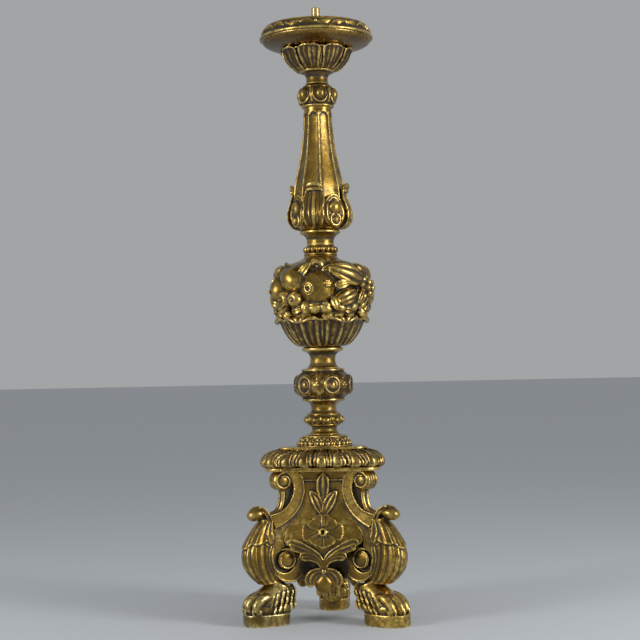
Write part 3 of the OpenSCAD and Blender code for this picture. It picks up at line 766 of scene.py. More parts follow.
@dataclass(frozen=True)
class BareWoodFinish(Finish):
    """Unpainted old softwood, dirty and open-grained, as inside the base."""

    name: str = "bare_wood_old"
    pale: tuple = rgba(0.30, 0.18, 0.085)
    dark: tuple = rgba(0.13, 0.07, 0.030)
    grime: tuple = rgba(0.035, 0.024, 0.015)

    def painted(self, g: Graph, where: bpy.types.NodeSocket) -> dict[str, object]:
        """What the shader's sockets are given."""
        skin = g.add("Group", {"Wave": 50.0, "Grain": 350.0}, node_tree=surface_group())
        along = g.add("Mapping", {"Vector": where, "Scale": (1.0, 1.0, 0.09)})
        rings = g.add("TexWave", {"Vector": along.outputs[0], "Scale": 60.0, "Distortion": 7.0, "Detail": 4.0},
            wave_type="RINGS").outputs[1]
        fibres = g.noise(along.outputs[0], 700.0, 4.0)
        tone = g.blend(rings, self.pale, self.dark)
        tone = g.blend(g.times(g.ramp(fibres, 0.45, 0.7), 0.5), tone, self.dark)
        tone = g.blend(g.times(g.ramp(skin.outputs["Mottle"], 0.45, 0.75), 0.7), tone, self.grime)
        rough = g.math("MULTIPLY_ADD", fibres, 0.25, 0.62)
        bump = g.add("Bump", {"Height": fibres, "Strength": 0.4, "Distance": 0.0005})
        return {"Base Color": tone, "Roughness": rough, "Normal": bump.outputs[0]}


# Copies of the gilt in other tones, which paint light and shade: shade on the pan's underside, near-black shade
# inside the base, worn gold with painted highlight on one paw, and darker painted shade on other pieces.
GILT_TONES = (
    ("shaded_gilt", (0.13, 0.070, 0.012), (0.34, 0.195, 0.036), (0.36, 0.21, 0.045)),
    ("interior_shadow_gilt", (0.016, 0.009, 0.004), (0.04, 0.024, 0.008), (0.14, 0.09, 0.03)),
    ("worn_and_lit_gilt", (0.15, 0.094, 0.018), (0.64, 0.45, 0.11), (0.96, 0.81, 0.37)),
    ("dark_shade_gilt", (0.075, 0.041, 0.007), (0.235, 0.138, 0.026), (0.80, 0.57, 0.18)))
SHADED_GILT, INTERIOR_SHADOW_GILT, WORN_AND_LIT_GILT, DARK_SHADE_GILT = (
    GiltFinish(name, *(rgba(*colour) for colour in colours)) for name, *colours in GILT_TONES)
GILT = GiltFinish()
BRASS = BrassFinish()
BARE_WOOD = BareWoodFinish()


def carving_depth(obj: Piece, iterations: int) -> np.ndarray:
    """How far each point lies under the same surface when it is smoothed.

    Args:
        obj: The piece, in millimetres.
        iterations: Smoothing steps, more for broader hollows.

    Returns:
        The depth at each point, negative on a crest.
    """
    soft = obj.modifiers.new("Soft", "SMOOTH")
    soft.factor, soft.iterations = 1.0, iterations
    smooth = rows_of(obj.evaluated_get(bpy.context.evaluated_depsgraph_get()).data)
    obj.modifiers.remove(soft)
    return np.sum((smooth - points_of(obj)) * rows_of(obj.data, "normal"), axis=1)


def record_carving(obj: Piece) -> None:
    """Writes the piece's near and wide carving depth into its attributes, from -1 to 1."""
    for name, (iterations, reach) in CARVING_REACH.items():
        depth = np.clip(carving_depth(obj, iterations) / reach, -1, 1)
        attribute = obj.data.attributes.new(name, "FLOAT", "POINT")
        attribute.data.foreach_set("value", depth.astype(np.float32))


def finished(obj: Piece, nodes: Sequence[str], finish: Finish = GILT,
             sharp: float = 0.0) -> Piece:
    """Brings a modelled piece to metres, dresses it and lets it stand for its CAD nodes.

    Args:
        obj: The piece, in millimetres.
        nodes: CAD nodes that it stands for.
        finish: Its finish.
        sharp: Angle in degrees past which its edges stay sharp, or 0 for a soft carved skin.

    Returns:
        The finished piece.
    """
    record_carving(obj)
    if len(obj.data.polygons) > FINE_FACES:
        worked(obj, "DECIMATE", ratio=THINNING)
    obj.data.transform(Matrix.Scale(MM, 4))
    pick(obj)
    if sharp:
        bpy.ops.object.shade_smooth_by_angle(angle=math.radians(sharp))
    else:
        bpy.ops.object.shade_smooth()
    obj.data.materials.clear()
    obj.data.materials.append(finish.material())
    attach(obj, "root")
    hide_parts(*nodes)
    LOG.info("%s: %d triangles", obj.name, sum(len(face.vertices) - 2 for face in obj.data.polygons))
    return obj


def redressed(obj: Piece, finish: Finish, chosen: Callable[[Vector], bool]) -> None:
    """Gives a second finish to the faces whose middles, in millimetres, are chosen."""
    obj.data.materials.append(finish.material())
    for face in obj.data.polygons:
        face.material_index = int(chosen(face.center / MM))


def dress_node(name: str, finish: Finish) -> None:
    """Gives a CAD node that stays its finish."""
    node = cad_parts[name]
    for slot in node.material_slots:
        slot.material = finish.material()
    if not node.material_slots:
        node.data.materials.append(finish.material())


# ---- drip pan and tube

@dataclass
class CandleTube:
    """Short brass tube driven into the drip pan."""

    foot: float = 954.0
    top: float = 1000.0
    radius: float = 7.0
    bore: float = 5.5
    shank: float = 20.0

    def build(self) -> Piece:
        """Builds the tube with its rounded mouth and bore."""
        lip = (self.radius - self.bore) / 2
        loop = [(self.radius - 0.7, self.foot - self.shank), (self.radius - 0.7, self.foot),
            (self.radius, self.foot), (self.radius, self.top - lip - 5.5),
            (self.radius - 0.25, self.top - lip - 5.2), (self.radius, self.top - lip - 4.9),
            *arc((self.radius - lip, self.top - lip), lip, 0, 180, 8), (self.bore, self.foot - self.shank)]
        tube = turned("candle_tube_brass", loop, steps=72, step=1.5, closed=True)
        return finished(tube, ["candle_tube"], BRASS, sharp=35)


@dataclass
class DripPan:
    """Shallow dish with a fillet and a band of leaves carved round its rim."""

    seat: float = 926.0
    rim: float = 967.5
    floor: float = 954.0
    radius: float = 93.5
    leaf_pairs: int = 11
    leaf_l: float = 25.0
    turn: float = 276.0
    # Height up to which the dish's underside takes painted shade.
    under: float = 20.6

    def build(self) -> Piece:
        """Builds the dish, its carved band and the berries between the leaves."""
        z, r = self.seat, self.radius
        bowl = turned("drip_pan_bowl", [(26, z - 4), (27, z), (42, z), *curve2([(44, z + 0.6), (52, z + 3),
            (64, z + 6), (77, z + 9.6), (85.5, z + 13.4), (90, z + 18)], 8)[1:], (90.3, z + 24), (85.5, z + 30),
            (80.5, self.rim - 8), (77, self.floor + 3), *curve2([(76, self.floor + 1.5), (73, self.floor + 0.3),
            (60, self.floor)], 4), (30, self.floor + 0.3), (7.05, self.floor + 0.2), (7.05, self.floor - 2)],
            steps=224, step=3)
        pan = finished(joined("drip_pan_carved", [bowl, self._band()]), ["drip_pan"])
        # Painted shade on the dish's underside.
        redressed(pan, SHADED_GILT, lambda p: p.z < z + self.under and math.hypot(p.x, p.y) < r - 1.0)
        return pan

    def _band(self) -> Piece:
        """The rim: a fillet under a sloping band of leaves and a rolled top edge."""
        z, r = self.seat, self.radius
        ring = turned("rim_ring", [(r - 6, z + 18), *arc((r - 2.6, z + 22.5), 2.6, -95, 75, 8), (r - 3.8, z + 26.4),
            (r - 5.6, z + 31), (r - 8.4, z + 36.5), (r - 8.8, z + 38), *arc((r - 11.4, self.rim - 2.4),
            2.4, 5, 180, 8), (r - 16, self.rim - 7), (r - 17.5, self.floor + 2)], steps=260, step=1.6, closed=True)
        parts = [ring]
        turn = 360 / self.leaf_pairs
        for k in range(self.leaf_pairs):
            azimuth = self.turn + turn * k
            forward = 1 if k % 2 == 0 else -1
            for j, (shift, lift) in enumerate(((-0.27, 0.4), (0.25, -0.7))):
                parts.append(self._leaf(azimuth + shift * turn, lift, forward * (1 if j else -1)))
            parts.append(self._berry(azimuth, 1.2, 2.5))
            if k % 2 == 0:
                parts.append(self._berry(azimuth + 3.1, -1.0, 1.9))
        return fused("rim_band", parts, voxel=0.95, soften=2)

    def _on_band(self, azimuth: float, height: float, proud: float) -> np.ndarray:
        """A point over the sloping band, at a height from its middle."""
        out = self.radius - 5.8 - 0.46 * height + proud
        return compass(azimuth)[0] * out + (0, 0, self.seat + 32 + height)

    def _leaf(self, azimuth: float, lift: float, forward: int) -> Piece:
        """One laurel leaf that lies along the band, its tip lifted."""
        half = math.degrees(self.leaf_l / 2 / self.radius)
        path = np.array([self._on_band(azimuth + forward * half * s, lift + 3.2 * (s ** 2 - 0.4) * forward
                                       + 1.8 * s, 0.2 + 1.2 * s) for s in np.linspace(-1, 1, 22)])
        return swept("rim_leaf", path, (0.8, 3.4, 4.6, 4.4, 3.0, 0.9), flat=0.48)

    def _berry(self, azimuth: float, height: float, size: float) -> Piece:
        """A round berry between two leaves."""
        return ball("rim_berry", self._on_band(azimuth, height, 0.8), size, segments=16)


# ---- upper stem

@dataclass
class LeafCup:
    """Bowl of eight outward leaves over a ring and a narrow neck."""

    seat: float = 874.0
    ring: float = 24.5
    leaves: int = 8
    turn: float = 263.0
    spine: tuple = ((26.5, 21), (34.4, 24.5), (41, 29.5), (46.5, 35.5), (50.4, 41.5), (53.2, 48.5), (55.8, 53.2),
        (58.4, 54.8), (60.0, 53.0))
    widths: tuple = ((0, 7.8), (0.3, 13.6), (0.56, 18.0), (0.72, 17.4), (0.84, 13.6), (0.93, 8.0), (1.0, 3.5))

    def build(self) -> Piece:
        """Builds the neck, the bowl and two layers of leaves."""
        z = self.seat
        neck = turned("cup_neck", [(19.5, -2), (19.2, 0), *curve2([(18.2, 2), (17.6, 7), (18.4, 12), (22.5, 17),
            (26, 18.6)], 6), *arc((26.2, 21), 2.7, -70, 80, 8), (27.5, 24)], steps=160, step=1.3, seat=z)
        core = turned("cup_core", [(26, 20), (30, 23), (36.5, 28.5), (41.5, 34), (44.5, 40), (45.5, 46),
            (43, 51.8)], steps=128, step=2, seat=z)
        front = Leaf(self.spine, self.widths, thickness=2.8, rib=0.8, rim=2.0, vein=1.2, veins=2.2, across=52,
            along=64, seat=z)
        behind = Leaf([(26, 21), (37, 28), (44.5, 37), (49, 45), (52, 51.4), (55.6, 53.0)],
            ((0, 7), (0.5, 10), (0.85, 8), (1, 3)), thickness=2.2, rib=1.4, rim=0.8, seat=z)
        parts = [core, *ringed(self.leaves, front.on_stem("cup_leaf", self.turn)),
            *ringed(self.leaves, behind.on_stem("cup_back_leaf", self.turn + 180 / self.leaves))]
        bowl = fused("cup_bowl", parts, voxel=0.95, soften=2)
        cup = finished(joined("leaf_cup_carved", [neck, bowl]), ["leaf_cup"])
        # The bowl and its leaves take the darker gilt that paints shade.
        redressed(cup, DARK_SHADE_GILT, lambda p: p.z > z + self.ring)
        return cup


@dataclass
class EggKnop:
    """Round knop with six eggs in arched frames between two rings."""

    seat: float = 834.0
    height: float = 40.0
    eggs: int = 6
    turn: float = 286.0

    def build(self) -> Piece:
        """Builds the turned body, the eggs, their frames and the darts between them."""
        z, h = self.seat, self.height
        mid = z + 21.5
        body = turned("egg_body", [(22, z - 1), (23, z), *arc((24.6, z + 2.4), 2.4, -80, 75, 6), (25.4, z + 5.6),
            *curve2([(26.0, z + 6.5), (28.4, z + 11), (29.8, z + 17), (29.8, z + 23), (27.6, z + 28.5),
            (24.0, z + 31.4)], 6), *arc((22.6, z + 33.8), 2.2, -60, 85, 6), (21.5, z + 37), (19.3, z + h - 1),
            (19, z + h)], steps=200, step=1.2)
        out, spin = compass(self.turn)[0], rotation(self.turn)
        facing = spin @ rotation(76, "Y")
        egg = ball("egg", out * 25.6 + (0, 0, mid - 1.0), (9.6, 8.6, 11.6), spin, 32)
        frame_ring = hoop("egg_frame", out * 26.4 + (0, 0, mid - 2.0), 11.4, 1.7, (1.12, 1.0, 1.0), facing)
        between = compass(self.turn + 180 / self.eggs)[0]
        dart = swept("egg_dart", np.array([between * r + (0, 0, high) for r, high in curve2([(24.6, mid + 10),
            (27.6, mid + 5), (29.6, mid - 2), (29.4, mid - 8), (27.0, mid - 14)], 8)]), (3.4, 4.0, 3.4, 2.4, 2.0))
        parts = [body, *ringed(self.eggs, egg, frame_ring, dart)]
        return finished(fused("egg_knop_carved", parts, voxel=0.75, soften=2), ["egg_knop"])


@dataclass
class FlutedShaft:
    """Shaft that flares downwards with eight flutes into a vase of four acanthus leaves."""

    seat: float = 633.0
    waist: float = 705.0
    top: float = 834.0
    top_r: float = 22.5
    foot_r: float = 41.0
    flutes: int = 8
    flute_turn: float = 10.0
    fillet: float = 2.6
    leaf_turn: float = 264.0
    leaves: int = 4

    def build(self) -> Piece:
        """Builds the fluted shaft and the vase at its foot."""
        return finished(joined("fluted_shaft_carved", [self._shaft(), self._vase()]), ["fluted_shaft"])

    def _radius(self, z: np.ndarray) -> np.ndarray:
        """The shaft's radius at a height."""
        t = np.clip((self.top - z) / (self.top - self.waist), 0, 1.3)
        return self.top_r + (self.foot_r - self.top_r) * (t ** 2 - 3.2 * np.maximum(t - 0.88, 0) ** 2)

    def _shaft(self) -> Piece:
        """The shaft with hollow flutes that end in round heads."""
        heights = np.linspace(self.waist - 32, self.top, 110)
        obj = turned("shaft", list(zip(self._radius(heights), heights)), steps=320, step=1.4)
        p = points_of(obj)
        r = np.hypot(p[:, 0], p[:, 1])
        angle = np.degrees(np.arctan2(p[:, 1], p[:, 0])) - self.flute_turn
        share = (angle / 360 * self.flutes) % 1.0
        pitch = TAU * self._radius(p[:, 2]) / self.flutes
        half = (pitch - self.fillet) / 2
        from_middle = np.abs(share - 0.5) * pitch
        head = self.top - 8.0
        over = np.maximum(p[:, 2] - (head - half), 0)
        reach = np.sqrt(np.maximum(half ** 2 - over ** 2, 0))
        inside = np.clip(1 - (from_middle / np.maximum(reach, 1e-3)) ** 2, 0, 1)
        depth = 0.36 * reach * np.sqrt(inside)
        bead = 0.7 * hump(from_middle - (half + self.fillet / 2), 0.75) * eased(head + 2 - p[:, 2], 0, 3)
        on_side = (r > 15) & (p[:, 2] < self.top - 0.5)
        r_new = np.where(on_side, r - depth + bead, r)
        scale = np.divide(r_new, r, out=np.ones_like(r), where=r > 1e-6)
        p[:, :2] *= scale[:, None]
        return place(obj, p)

    def _vase(self) -> Piece:
        """The vase: body, leaves with rolled tips, and scroll eyes with their spirals."""
        z = self.seat
        body = turned("vase_body", [(29, -1), (31, 0), *curve2([(35, 2.5), (42, 8), (46.5, 15), (47.5, 24),
            (46.6, 33), (44.8, 41), (42.0, 47.5), (38.0, 51.5), (33.0, 53.5)], 6)], steps=200, step=1.8, seat=z)
        leaf = Leaf([(33, 1), (44, 6.5), (50.2, 15), (51.6, 25), (49, 36), (45, 48), (42.2, 58), (42.0, 66),
            (44.6, 71.5)], ((0, 7), (0.18, 14), (0.38, 17.5), (0.58, 17.5), (0.72, 14.5), (0.84, 12.5), (1, 12.0)),
            thickness=4.0, rib=1.5, rim=1.5, vein=1.5, veins=2.6, lobes=2.2, lobe_depth=0.2, across=52, along=80,
            seat=z).on_stem("vase_leaf", self.leaf_turn)
        roll = self._roll()
        eye_turn = self.leaf_turn + 180 / self.leaves
        out, spin = compass(eye_turn)[0], rotation(eye_turn)
        eye = ball("vase_eye", out * 45.2 + (0, 0, z + 13.5), (6.6, 5.8, 6.0), spin, 24)
        eye_ring = hoop("vase_eye_ring", out * 46.4 + (0, 0, z + 14), 9.0, 1.8, (1.06, 1.0, 1.0),
            spin @ rotation(90, "Y"))
        lobe = ball("vase_lobe", out * 45.6 + (0, 0, z + 33.5), (6.8, 10.6, 10.8), spin, 28)
        bends = [self._bend(eye_turn, s, k) for s in (-1, 1) for k in (1, 2)]
        parts = [body, *ringed(self.leaves, leaf, *roll, eye, eye_ring, lobe, *bends)]
        return fused("vase", parts, voxel=0.95, soften=2)

    def _roll(self) -> list[Piece]:
        """The leaf's tip, rolled over outwards like a small scroll."""
        out, side = compass(self.leaf_turn)
        rows = []
        for far, high, drop, radii in ((46.4, 71.6, 4.0, (2.4, 4.0, 4.4, 4.0, 2.4)),
                (46.2, 63.4, 1.8, (2.0, 3.0, 3.4, 3.0, 2.0))):
            path = np.array([out * (far - 1.4 * s * s) + side * (11.8 * s) + (0, 0, self.seat + high - drop * s * s)
                             for s in np.linspace(-1, 1, 14)])
            rows.append(swept("vase_roll", path, radii, facing=tuple(out), flat=0.92))
        return rows

    def _bend(self, eye_turn: float, side: int, layer: int) -> Piece:
        """One ridge of the C-shaped scroll that curls beside a scroll eye."""
        grow = layer * 4.2
        rows = []
        for t in np.linspace(0, 1, 26):
            turn = math.radians(-78 + 205 * t)
            wide = (12.2 + grow) * math.cos(turn) * (1 - 0.1 * t)
            swing = 17.5 + 1.15 * grow if turn > 0 else 15.0 + 0.35 * grow
            high = 21.5 + swing * math.sin(turn) + 7 * t
            r = max(49.2 - 0.0135 * (high - 22) ** 2 - 0.3 * grow, 42.6)
            a = math.radians(eye_turn) + side * wide / r
            rows.append([r * math.cos(a), r * math.sin(a), self.seat + high])
        return swept("vase_bend", np.array(rows), (1.0, 2.0, 2.3, 2.0, 1.0), flat=0.9)


# ---- middle of the stem

@dataclass
class VaseNeck:
    """Plain neck and ring under the vase."""

    seat: float = 609.0

    def build(self) -> Piece:
        """Builds the turned neck."""
        z = self.seat
        neck = turned("vase_neck_turned", [(21, -2), (22.6, 0), *curve2([(22.2, 1), (21.9, 5), (22.8, 10),
            (26.5, 15), (29.8, 17.4)], 6), *arc((30.4, 20.4), 2.7, -78, 80, 8), (29.5, 23.6), (27, 24)], steps=192,
            step=1.3, seat=z)
        return finished(neck, ["vase_neck"])


@dataclass
class BeadRing:
    """Ring of beads on a low collar over the fruit."""

    seat: float = 590.0
    beads: int = 19

    def build(self) -> Piece:
        """Builds the collar and its beads."""
        z = self.seat
        body = turned("bead_collar_body", [(26, -1), (27, 0), *arc((24.9, 2.8), 2.6, -75, 75, 7), (23.6, 6.2),
            (23.6, 8.4), *arc((24.2, 12), 3.0, -75, 75, 7), (23.0, 15.8), (22.6, 17), (22.6, 19)], steps=180,
            step=1.0, seat=z)
        bead = ball("bead", (25.4, 0, z + 10.6), (3.6, 4.0, 4.6), segments=22)
        parts = [body, *ringed(self.beads, bead)]
        return finished(fused("bead_ring_carved", parts, voxel=0.62, soften=1), ["bead_ring"])


class FruitKind(Enum):
    """Kinds of fruit carved in the basket."""

    APPLE = "apple"
    PEAR = "pear"
    MELON = "melon"
    POMEGRANATE = "pomegranate"
    BERRIES = "berries"
    PLUM = "plum"


APPLE, PEAR, MELON, POMEGRANATE, BERRIES, PLUM = FruitKind


@dataclass(frozen=True)
class Fruit:
    """One fruit: its kind, direction in degrees, height over the calyx, half sizes and tilt."""

    kind: FruitKind
    azimuth: float
    height: float
    radius: float
    half_l: float
    tilt: float = 0.0


@dataclass
class FruitBasket:
    """Mass of carved fruit and leaves heaped in the calyx."""

    floor: float = 477.0
    top: float = 590.0
    reach: float = 88.0
    fruits: tuple = tuple(Fruit(*row) for row in ((POMEGRANATE, 271, 58, 29.5, 29.5),
        (MELON, 314, 79, 21.5, 38, -18), (MELON, 309, 42, 15.5, 24, 22), (BERRIES, 344, 58, 18, 18),
        (PEAR, 231, 74, 21, 30, -24), (APPLE, 200, 57, 21, 21), (APPLE, 224, 42, 14, 14), (APPLE, 241, 41, 13, 13),
        (PLUM, 256, 27, 11, 13, 70), (PLUM, 267, 27, 11, 13, 10), (PLUM, 281, 27, 11.5, 13, -20),
        (APPLE, 271, 94, 14, 14), (PLUM, 219, 28, 9.5, 15, 55), (PLUM, 300, 27, 9.5, 13, -12),
        (PEAR, 4, 80, 16, 23, 24), (APPLE, 3, 45, 15, 15), (PLUM, 334, 34, 10, 13, 40),
        (POMEGRANATE, 28, 60, 25, 25), (MELON, 65, 86, 16, 29, 12), (MELON, 62, 46, 14, 22, -16),
        (BERRIES, 94, 62, 18, 18), (PEAR, 124, 80, 16.5, 22, -22), (APPLE, 118, 43, 14, 14),
        (POMEGRANATE, 150, 60, 25, 25), (MELON, 184, 84, 15.5, 26, 14), (APPLE, 180, 45, 15, 15),
        (PLUM, 198, 37, 10.5, 13, -30), (APPLE, 30, 91, 12.5, 12.5), (APPLE, 150, 91, 12.5, 12.5),
        (PLUM, 10, 30, 10.5, 13, 20), (PLUM, 26, 29, 10, 12, -30), (PLUM, 43, 30, 11, 13, 30),
        (PLUM, 80, 31, 10.5, 13, -15), (PLUM, 99, 29, 10.5, 12, 35), (PLUM, 136, 30, 10.5, 13, 15),
        (PLUM, 154, 29, 11, 12, -25), (PLUM, 168, 31, 10, 12, 40), (PLUM, 318, 29, 10, 12, 30),
        (PLUM, 204, 84, 11, 16, 40), (PLUM, 341, 86, 11, 16, -35)))
    leaves: tuple = ((300, 63, 12, 13), (254, 87, 50, 15), (226, 91, -38, 15), (287, 88, 15, 12), (222, 34, 20, 12),
        (292, 33, -70, 11), (327, 44, 60, 12), (344, 84, -20, 14), (10, 44, 30, 12), (46, 90, 40, 14),
        (80, 40, -50, 12), (84, 88, 20, 14), (110, 58, -80, 12), (133, 92, -30, 14), (166, 70, 80, 13),
        (164, 88, 25, 13), (244, 24, 10, 10), (310, 24, -12, 10), (352, 26, 15, 10), (60, 26, -10, 10),
        (118, 25, 15, 10), (186, 26, -12, 10))

    def build(self) -> Piece:
        """Builds the core, the fruit, the leaves between them and the smooth shoulder."""
        z = self.floor
        parts = [turned("basket_core", [(54, 1), (62, 18), (65, 38), (67, 60), (67, 78),
            *curve2([(66, 88), (61, 95), (52, 100.4), (42, 104), (32.5, 107.4), (27.6, 111), (26.8, 113)], 5)],
            steps=120, step=3, seat=z)]
        low = [Fruit(PLUM, 20 * k + 6 * math.sin(2.3 * k), 17 + 2 * math.sin(3.1 * k), 9.5, 12.5,
                     50 * math.sin(k)) for k in range(18)]
        for fruit in (*self.fruits, *low):
            parts += self._fruit(fruit)
        parts += [self._leaf(*leaf) for leaf in self.leaves]
        return finished(fused("fruit_basket_carved", parts, voxel=1.15, soften=2), ["fruit_basket"])

    def _surface(self, height: float) -> float:
        """The fruit mass's reach from the axis at a height over its floor."""
        t = height / (self.top - self.floor)
        steep = 2.3 if t > 0.55 else 1.3
        return self.reach * math.sqrt(max(0.05, 1 - (steep * (t - 0.55)) ** 2))

    def _fruit(self, fruit: Fruit) -> list[Piece]:
        """Builds one fruit, its length along the mass and tilted, with what is carved on it."""
        turn = rotation(fruit.azimuth - 90) @ rotation(fruit.tilt, "Y")
        middle = compass(fruit.azimuth)[0] * (self._surface(fruit.height) - fruit.radius)
        middle = middle + (0, 0, self.floor + fruit.height)
        size = (fruit.half_l, fruit.radius, fruit.radius)
        rules = {MELON: self._ribbed, PEAR: self._pear, APPLE: self._dimpled, PLUM: self._creased}
        parts = [ball("fruit_" + fruit.kind.value, middle, size, turn, 40, rules.get(fruit.kind))]
        if fruit.kind is BERRIES:
            parts += self._berries(middle, fruit.radius, turn)
        if fruit.kind is POMEGRANATE:
            parts += self._crown(middle, fruit.radius, turn)
        if fruit.kind is APPLE:
            eye = np.array(turn.to_3x3() @ Vector((0.1, 0.93, -0.1))) * fruit.radius
            parts.append(ball("apple_eye", middle + eye, fruit.radius * 0.16, segments=12))
        return parts

    @staticmethod
    def _ribbed(p: np.ndarray) -> np.ndarray:
        """Nine ribs along the x axis that meet at both ends, drawn to a point."""
        turn = np.arctan2(p[:, 2], p[:, 1])
        rib = 1 - 0.17 * (1 - np.abs(np.cos(4.5 * turn))) ** 1.3
        along = np.sign(p[:, 0]) * np.abs(p[:, 0]) ** 1.15
        return np.column_stack([along, p[:, 1] * rib, p[:, 2] * rib])

    @staticmethod
    def _pear(p: np.ndarray) -> np.ndarray:
        """Draws one end in to a neck."""
        slim = 1 - 0.48 * eased(p[:, 0], -0.1, 1.0)
        return np.column_stack([p[:, 0] * (1 + 0.12 * (p[:, 0] > 0)), p[:, 1] * slim, p[:, 2] * slim])

    @staticmethod
    def _dimpled(p: np.ndarray) -> np.ndarray:
        """Sinks a dimple round the blossom end, a little off the outward side."""
        away = 1 - p @ np.array([0.1, 0.99, -0.1])
        return p * (1 - 0.26 * hump(away, 0.085))[:, None]

    @staticmethod
    def _creased(p: np.ndarray) -> np.ndarray:
        """Cuts the crease along a plum."""
        return p * (1 - 0.13 * hump(p[:, 2] - 0.25, 0.12) * (p[:, 1] > 0))[:, None]

    @staticmethod
    def _berries(middle: np.ndarray, radius: float, turn: Matrix) -> list[Piece]:
        """A cluster of berries over the outward side."""
        parts = []
        for row, count in ((0, 1), (34, 6), (66, 10), (94, 11)):
            for k in range(count):
                b, c = math.radians(row), TAU * (k + 0.5 * (row > 40)) / count
                at = Vector((math.sin(b) * math.cos(c), math.cos(b), math.sin(b) * math.sin(c))) * radius
                parts.append(ball("berry", middle + np.array(turn.to_3x3() @ at), 5.3, segments=16))
        return parts

    @staticmethod
    def _crown(middle: np.ndarray, radius: float, turn: Matrix) -> list[Piece]:
        """The pomegranate's star-shaped crown on one side and its coiled scar on the other."""
        spin = turn.to_3x3()
        def axes(*way: float) -> tuple[Vector, Vector, Vector]:
            out = Vector(way).normalized()
            side = out.cross(Vector((0, 0, 1))).normalized()
            return out, side, side.cross(out)

        out, side, rise = axes(-0.60, 0.78, 0.22)
        parts = []
        for k in range(6):
            at = out * (radius + 0.3) + (side * math.cos(TAU * k / 6) + rise * math.sin(TAU * k / 6)) * 4.6
            parts.append(ball("crown", middle + np.array(spin @ at), (2.3, 2.3, 2.3), segments=12))
        parts.append(ball("crown_seed", middle + np.array(spin @ (out * (radius + 0.2))), 2.0, segments=12))
        back, side, rise = axes(0.46, 0.88, -0.02)
        rows = []
        for t in np.linspace(0, 1, 46):
            reach = 3.2 + 7.6 * t
            c = 2.1 * TAU * t + 0.6
            far = math.sqrt(max(1.0, (radius + 0.5) ** 2 - reach ** 2))
            at = back * far + side * reach * math.cos(c) + rise * reach * 1.15 * math.sin(c)
            rows.append(middle + np.array(spin @ at))
        parts.append(swept("crown_coil", np.array(rows), (1.9, 1.7, 1.5, 1.1, 0.6)))
        return parts

    def _leaf(self, azimuth: float, height: float, tilt: float, half_l: float) -> Piece:
        """A leaf laid over the gaps between fruit."""
        out, side = compass(azimuth)
        ahead = side * math.cos(math.radians(tilt)) + np.array([0, 0, 1]) * math.sin(math.radians(tilt))
        middle = out * (self._surface(height) - 6.5) + (0, 0, self.floor + height)
        spine = [middle + ahead * half_l * s + out * (3.6 * (1 - s * s)) for s in (-1, -0.5, 0, 0.5, 1)]
        leaf = Leaf(spine, ((0, 2.0), (0.3, 6.6), (0.6, 6.4), (0.85, 3.8), (1, 0.7)), thickness=3.2, rib=1.0,
            rim=0.7, vein=0.9, veins=2.0, lobes=3.0, across=22, along=30)
        return leaf.on_face("basket_leaf", facing=tuple(out))


@dataclass
class FruitCalyx:
    """Cup of six ribbed leaves that holds the fruit."""

    seat: float = 443.0
    leaves: int = 6
    turn: float = 306.0

    def build(self) -> Piece:
        """Builds the cup and two layers of leaves with curled lips."""
        z = self.seat
        core = turned("calyx_core", [(26, -1), (34, 0), (38, 3), (44, 8), (51, 16), (57.5, 26), (62, 33), (64, 38),
            (60, 38), (54, 33)], steps=144, step=2.2, seat=z)
        front = Leaf([(35, 0.5), (44.5, 6), (52.2, 14), (58.2, 23), (62.4, 31), (65.4, 38), (68.2, 43),
            (71.8, 44.6), (74.4, 42.6), (74.2, 39.2), (71.8, 37.8)], ((0, 17), (0.35, 25), (0.6, 31), (0.72, 31),
            (0.82, 22), (0.92, 10), (1.0, 4)), thickness=3.4, rib=1.4, rim=1.5, vein=1.5, veins=2.0, across=64,
            along=70, seat=z)
        behind = Leaf([(36, 2), (50, 13), (58.5, 25), (63.5, 34), (68, 40), (71.5, 42.5)],
            ((0, 6), (0.5, 11), (0.8, 10.5), (0.93, 7), (1, 2.2)), thickness=3.0, rib=1.4, rim=0.9, seat=z)
        parts = [core, *ringed(self.leaves, front.on_stem("calyx_leaf", self.turn)),
            *ringed(self.leaves, behind.on_stem("calyx_back_leaf", self.turn + 180 / self.leaves))]
        # The calyx takes the darker gilt that paints shade.
        return finished(fused("fruit_calyx_carved", parts, voxel=1.05, soften=2), ["fruit_calyx"], DARK_SHADE_GILT)


@dataclass
class Spool:
    """Plain neck and ring under the calyx."""

    seat: float = 407.0

    def build(self) -> Piece:
        """Builds the turned spool."""
        z = self.seat
        spool = turned("spool_turned", [(26, -1), (28, 0), *curve2([(27, 0.8), (23.6, 3.5), (21.2, 8), (20.4, 14),
            (20.8, 19), (23.4, 24), (28.6, 27.2)], 6), *arc((30.8, 31), 3.1, -78, 78, 8), (29.5, 34.6), (29, 36)],
            steps=192, step=1.3, seat=z)
        return finished(spool, ["spool"])


# ---- lower stem

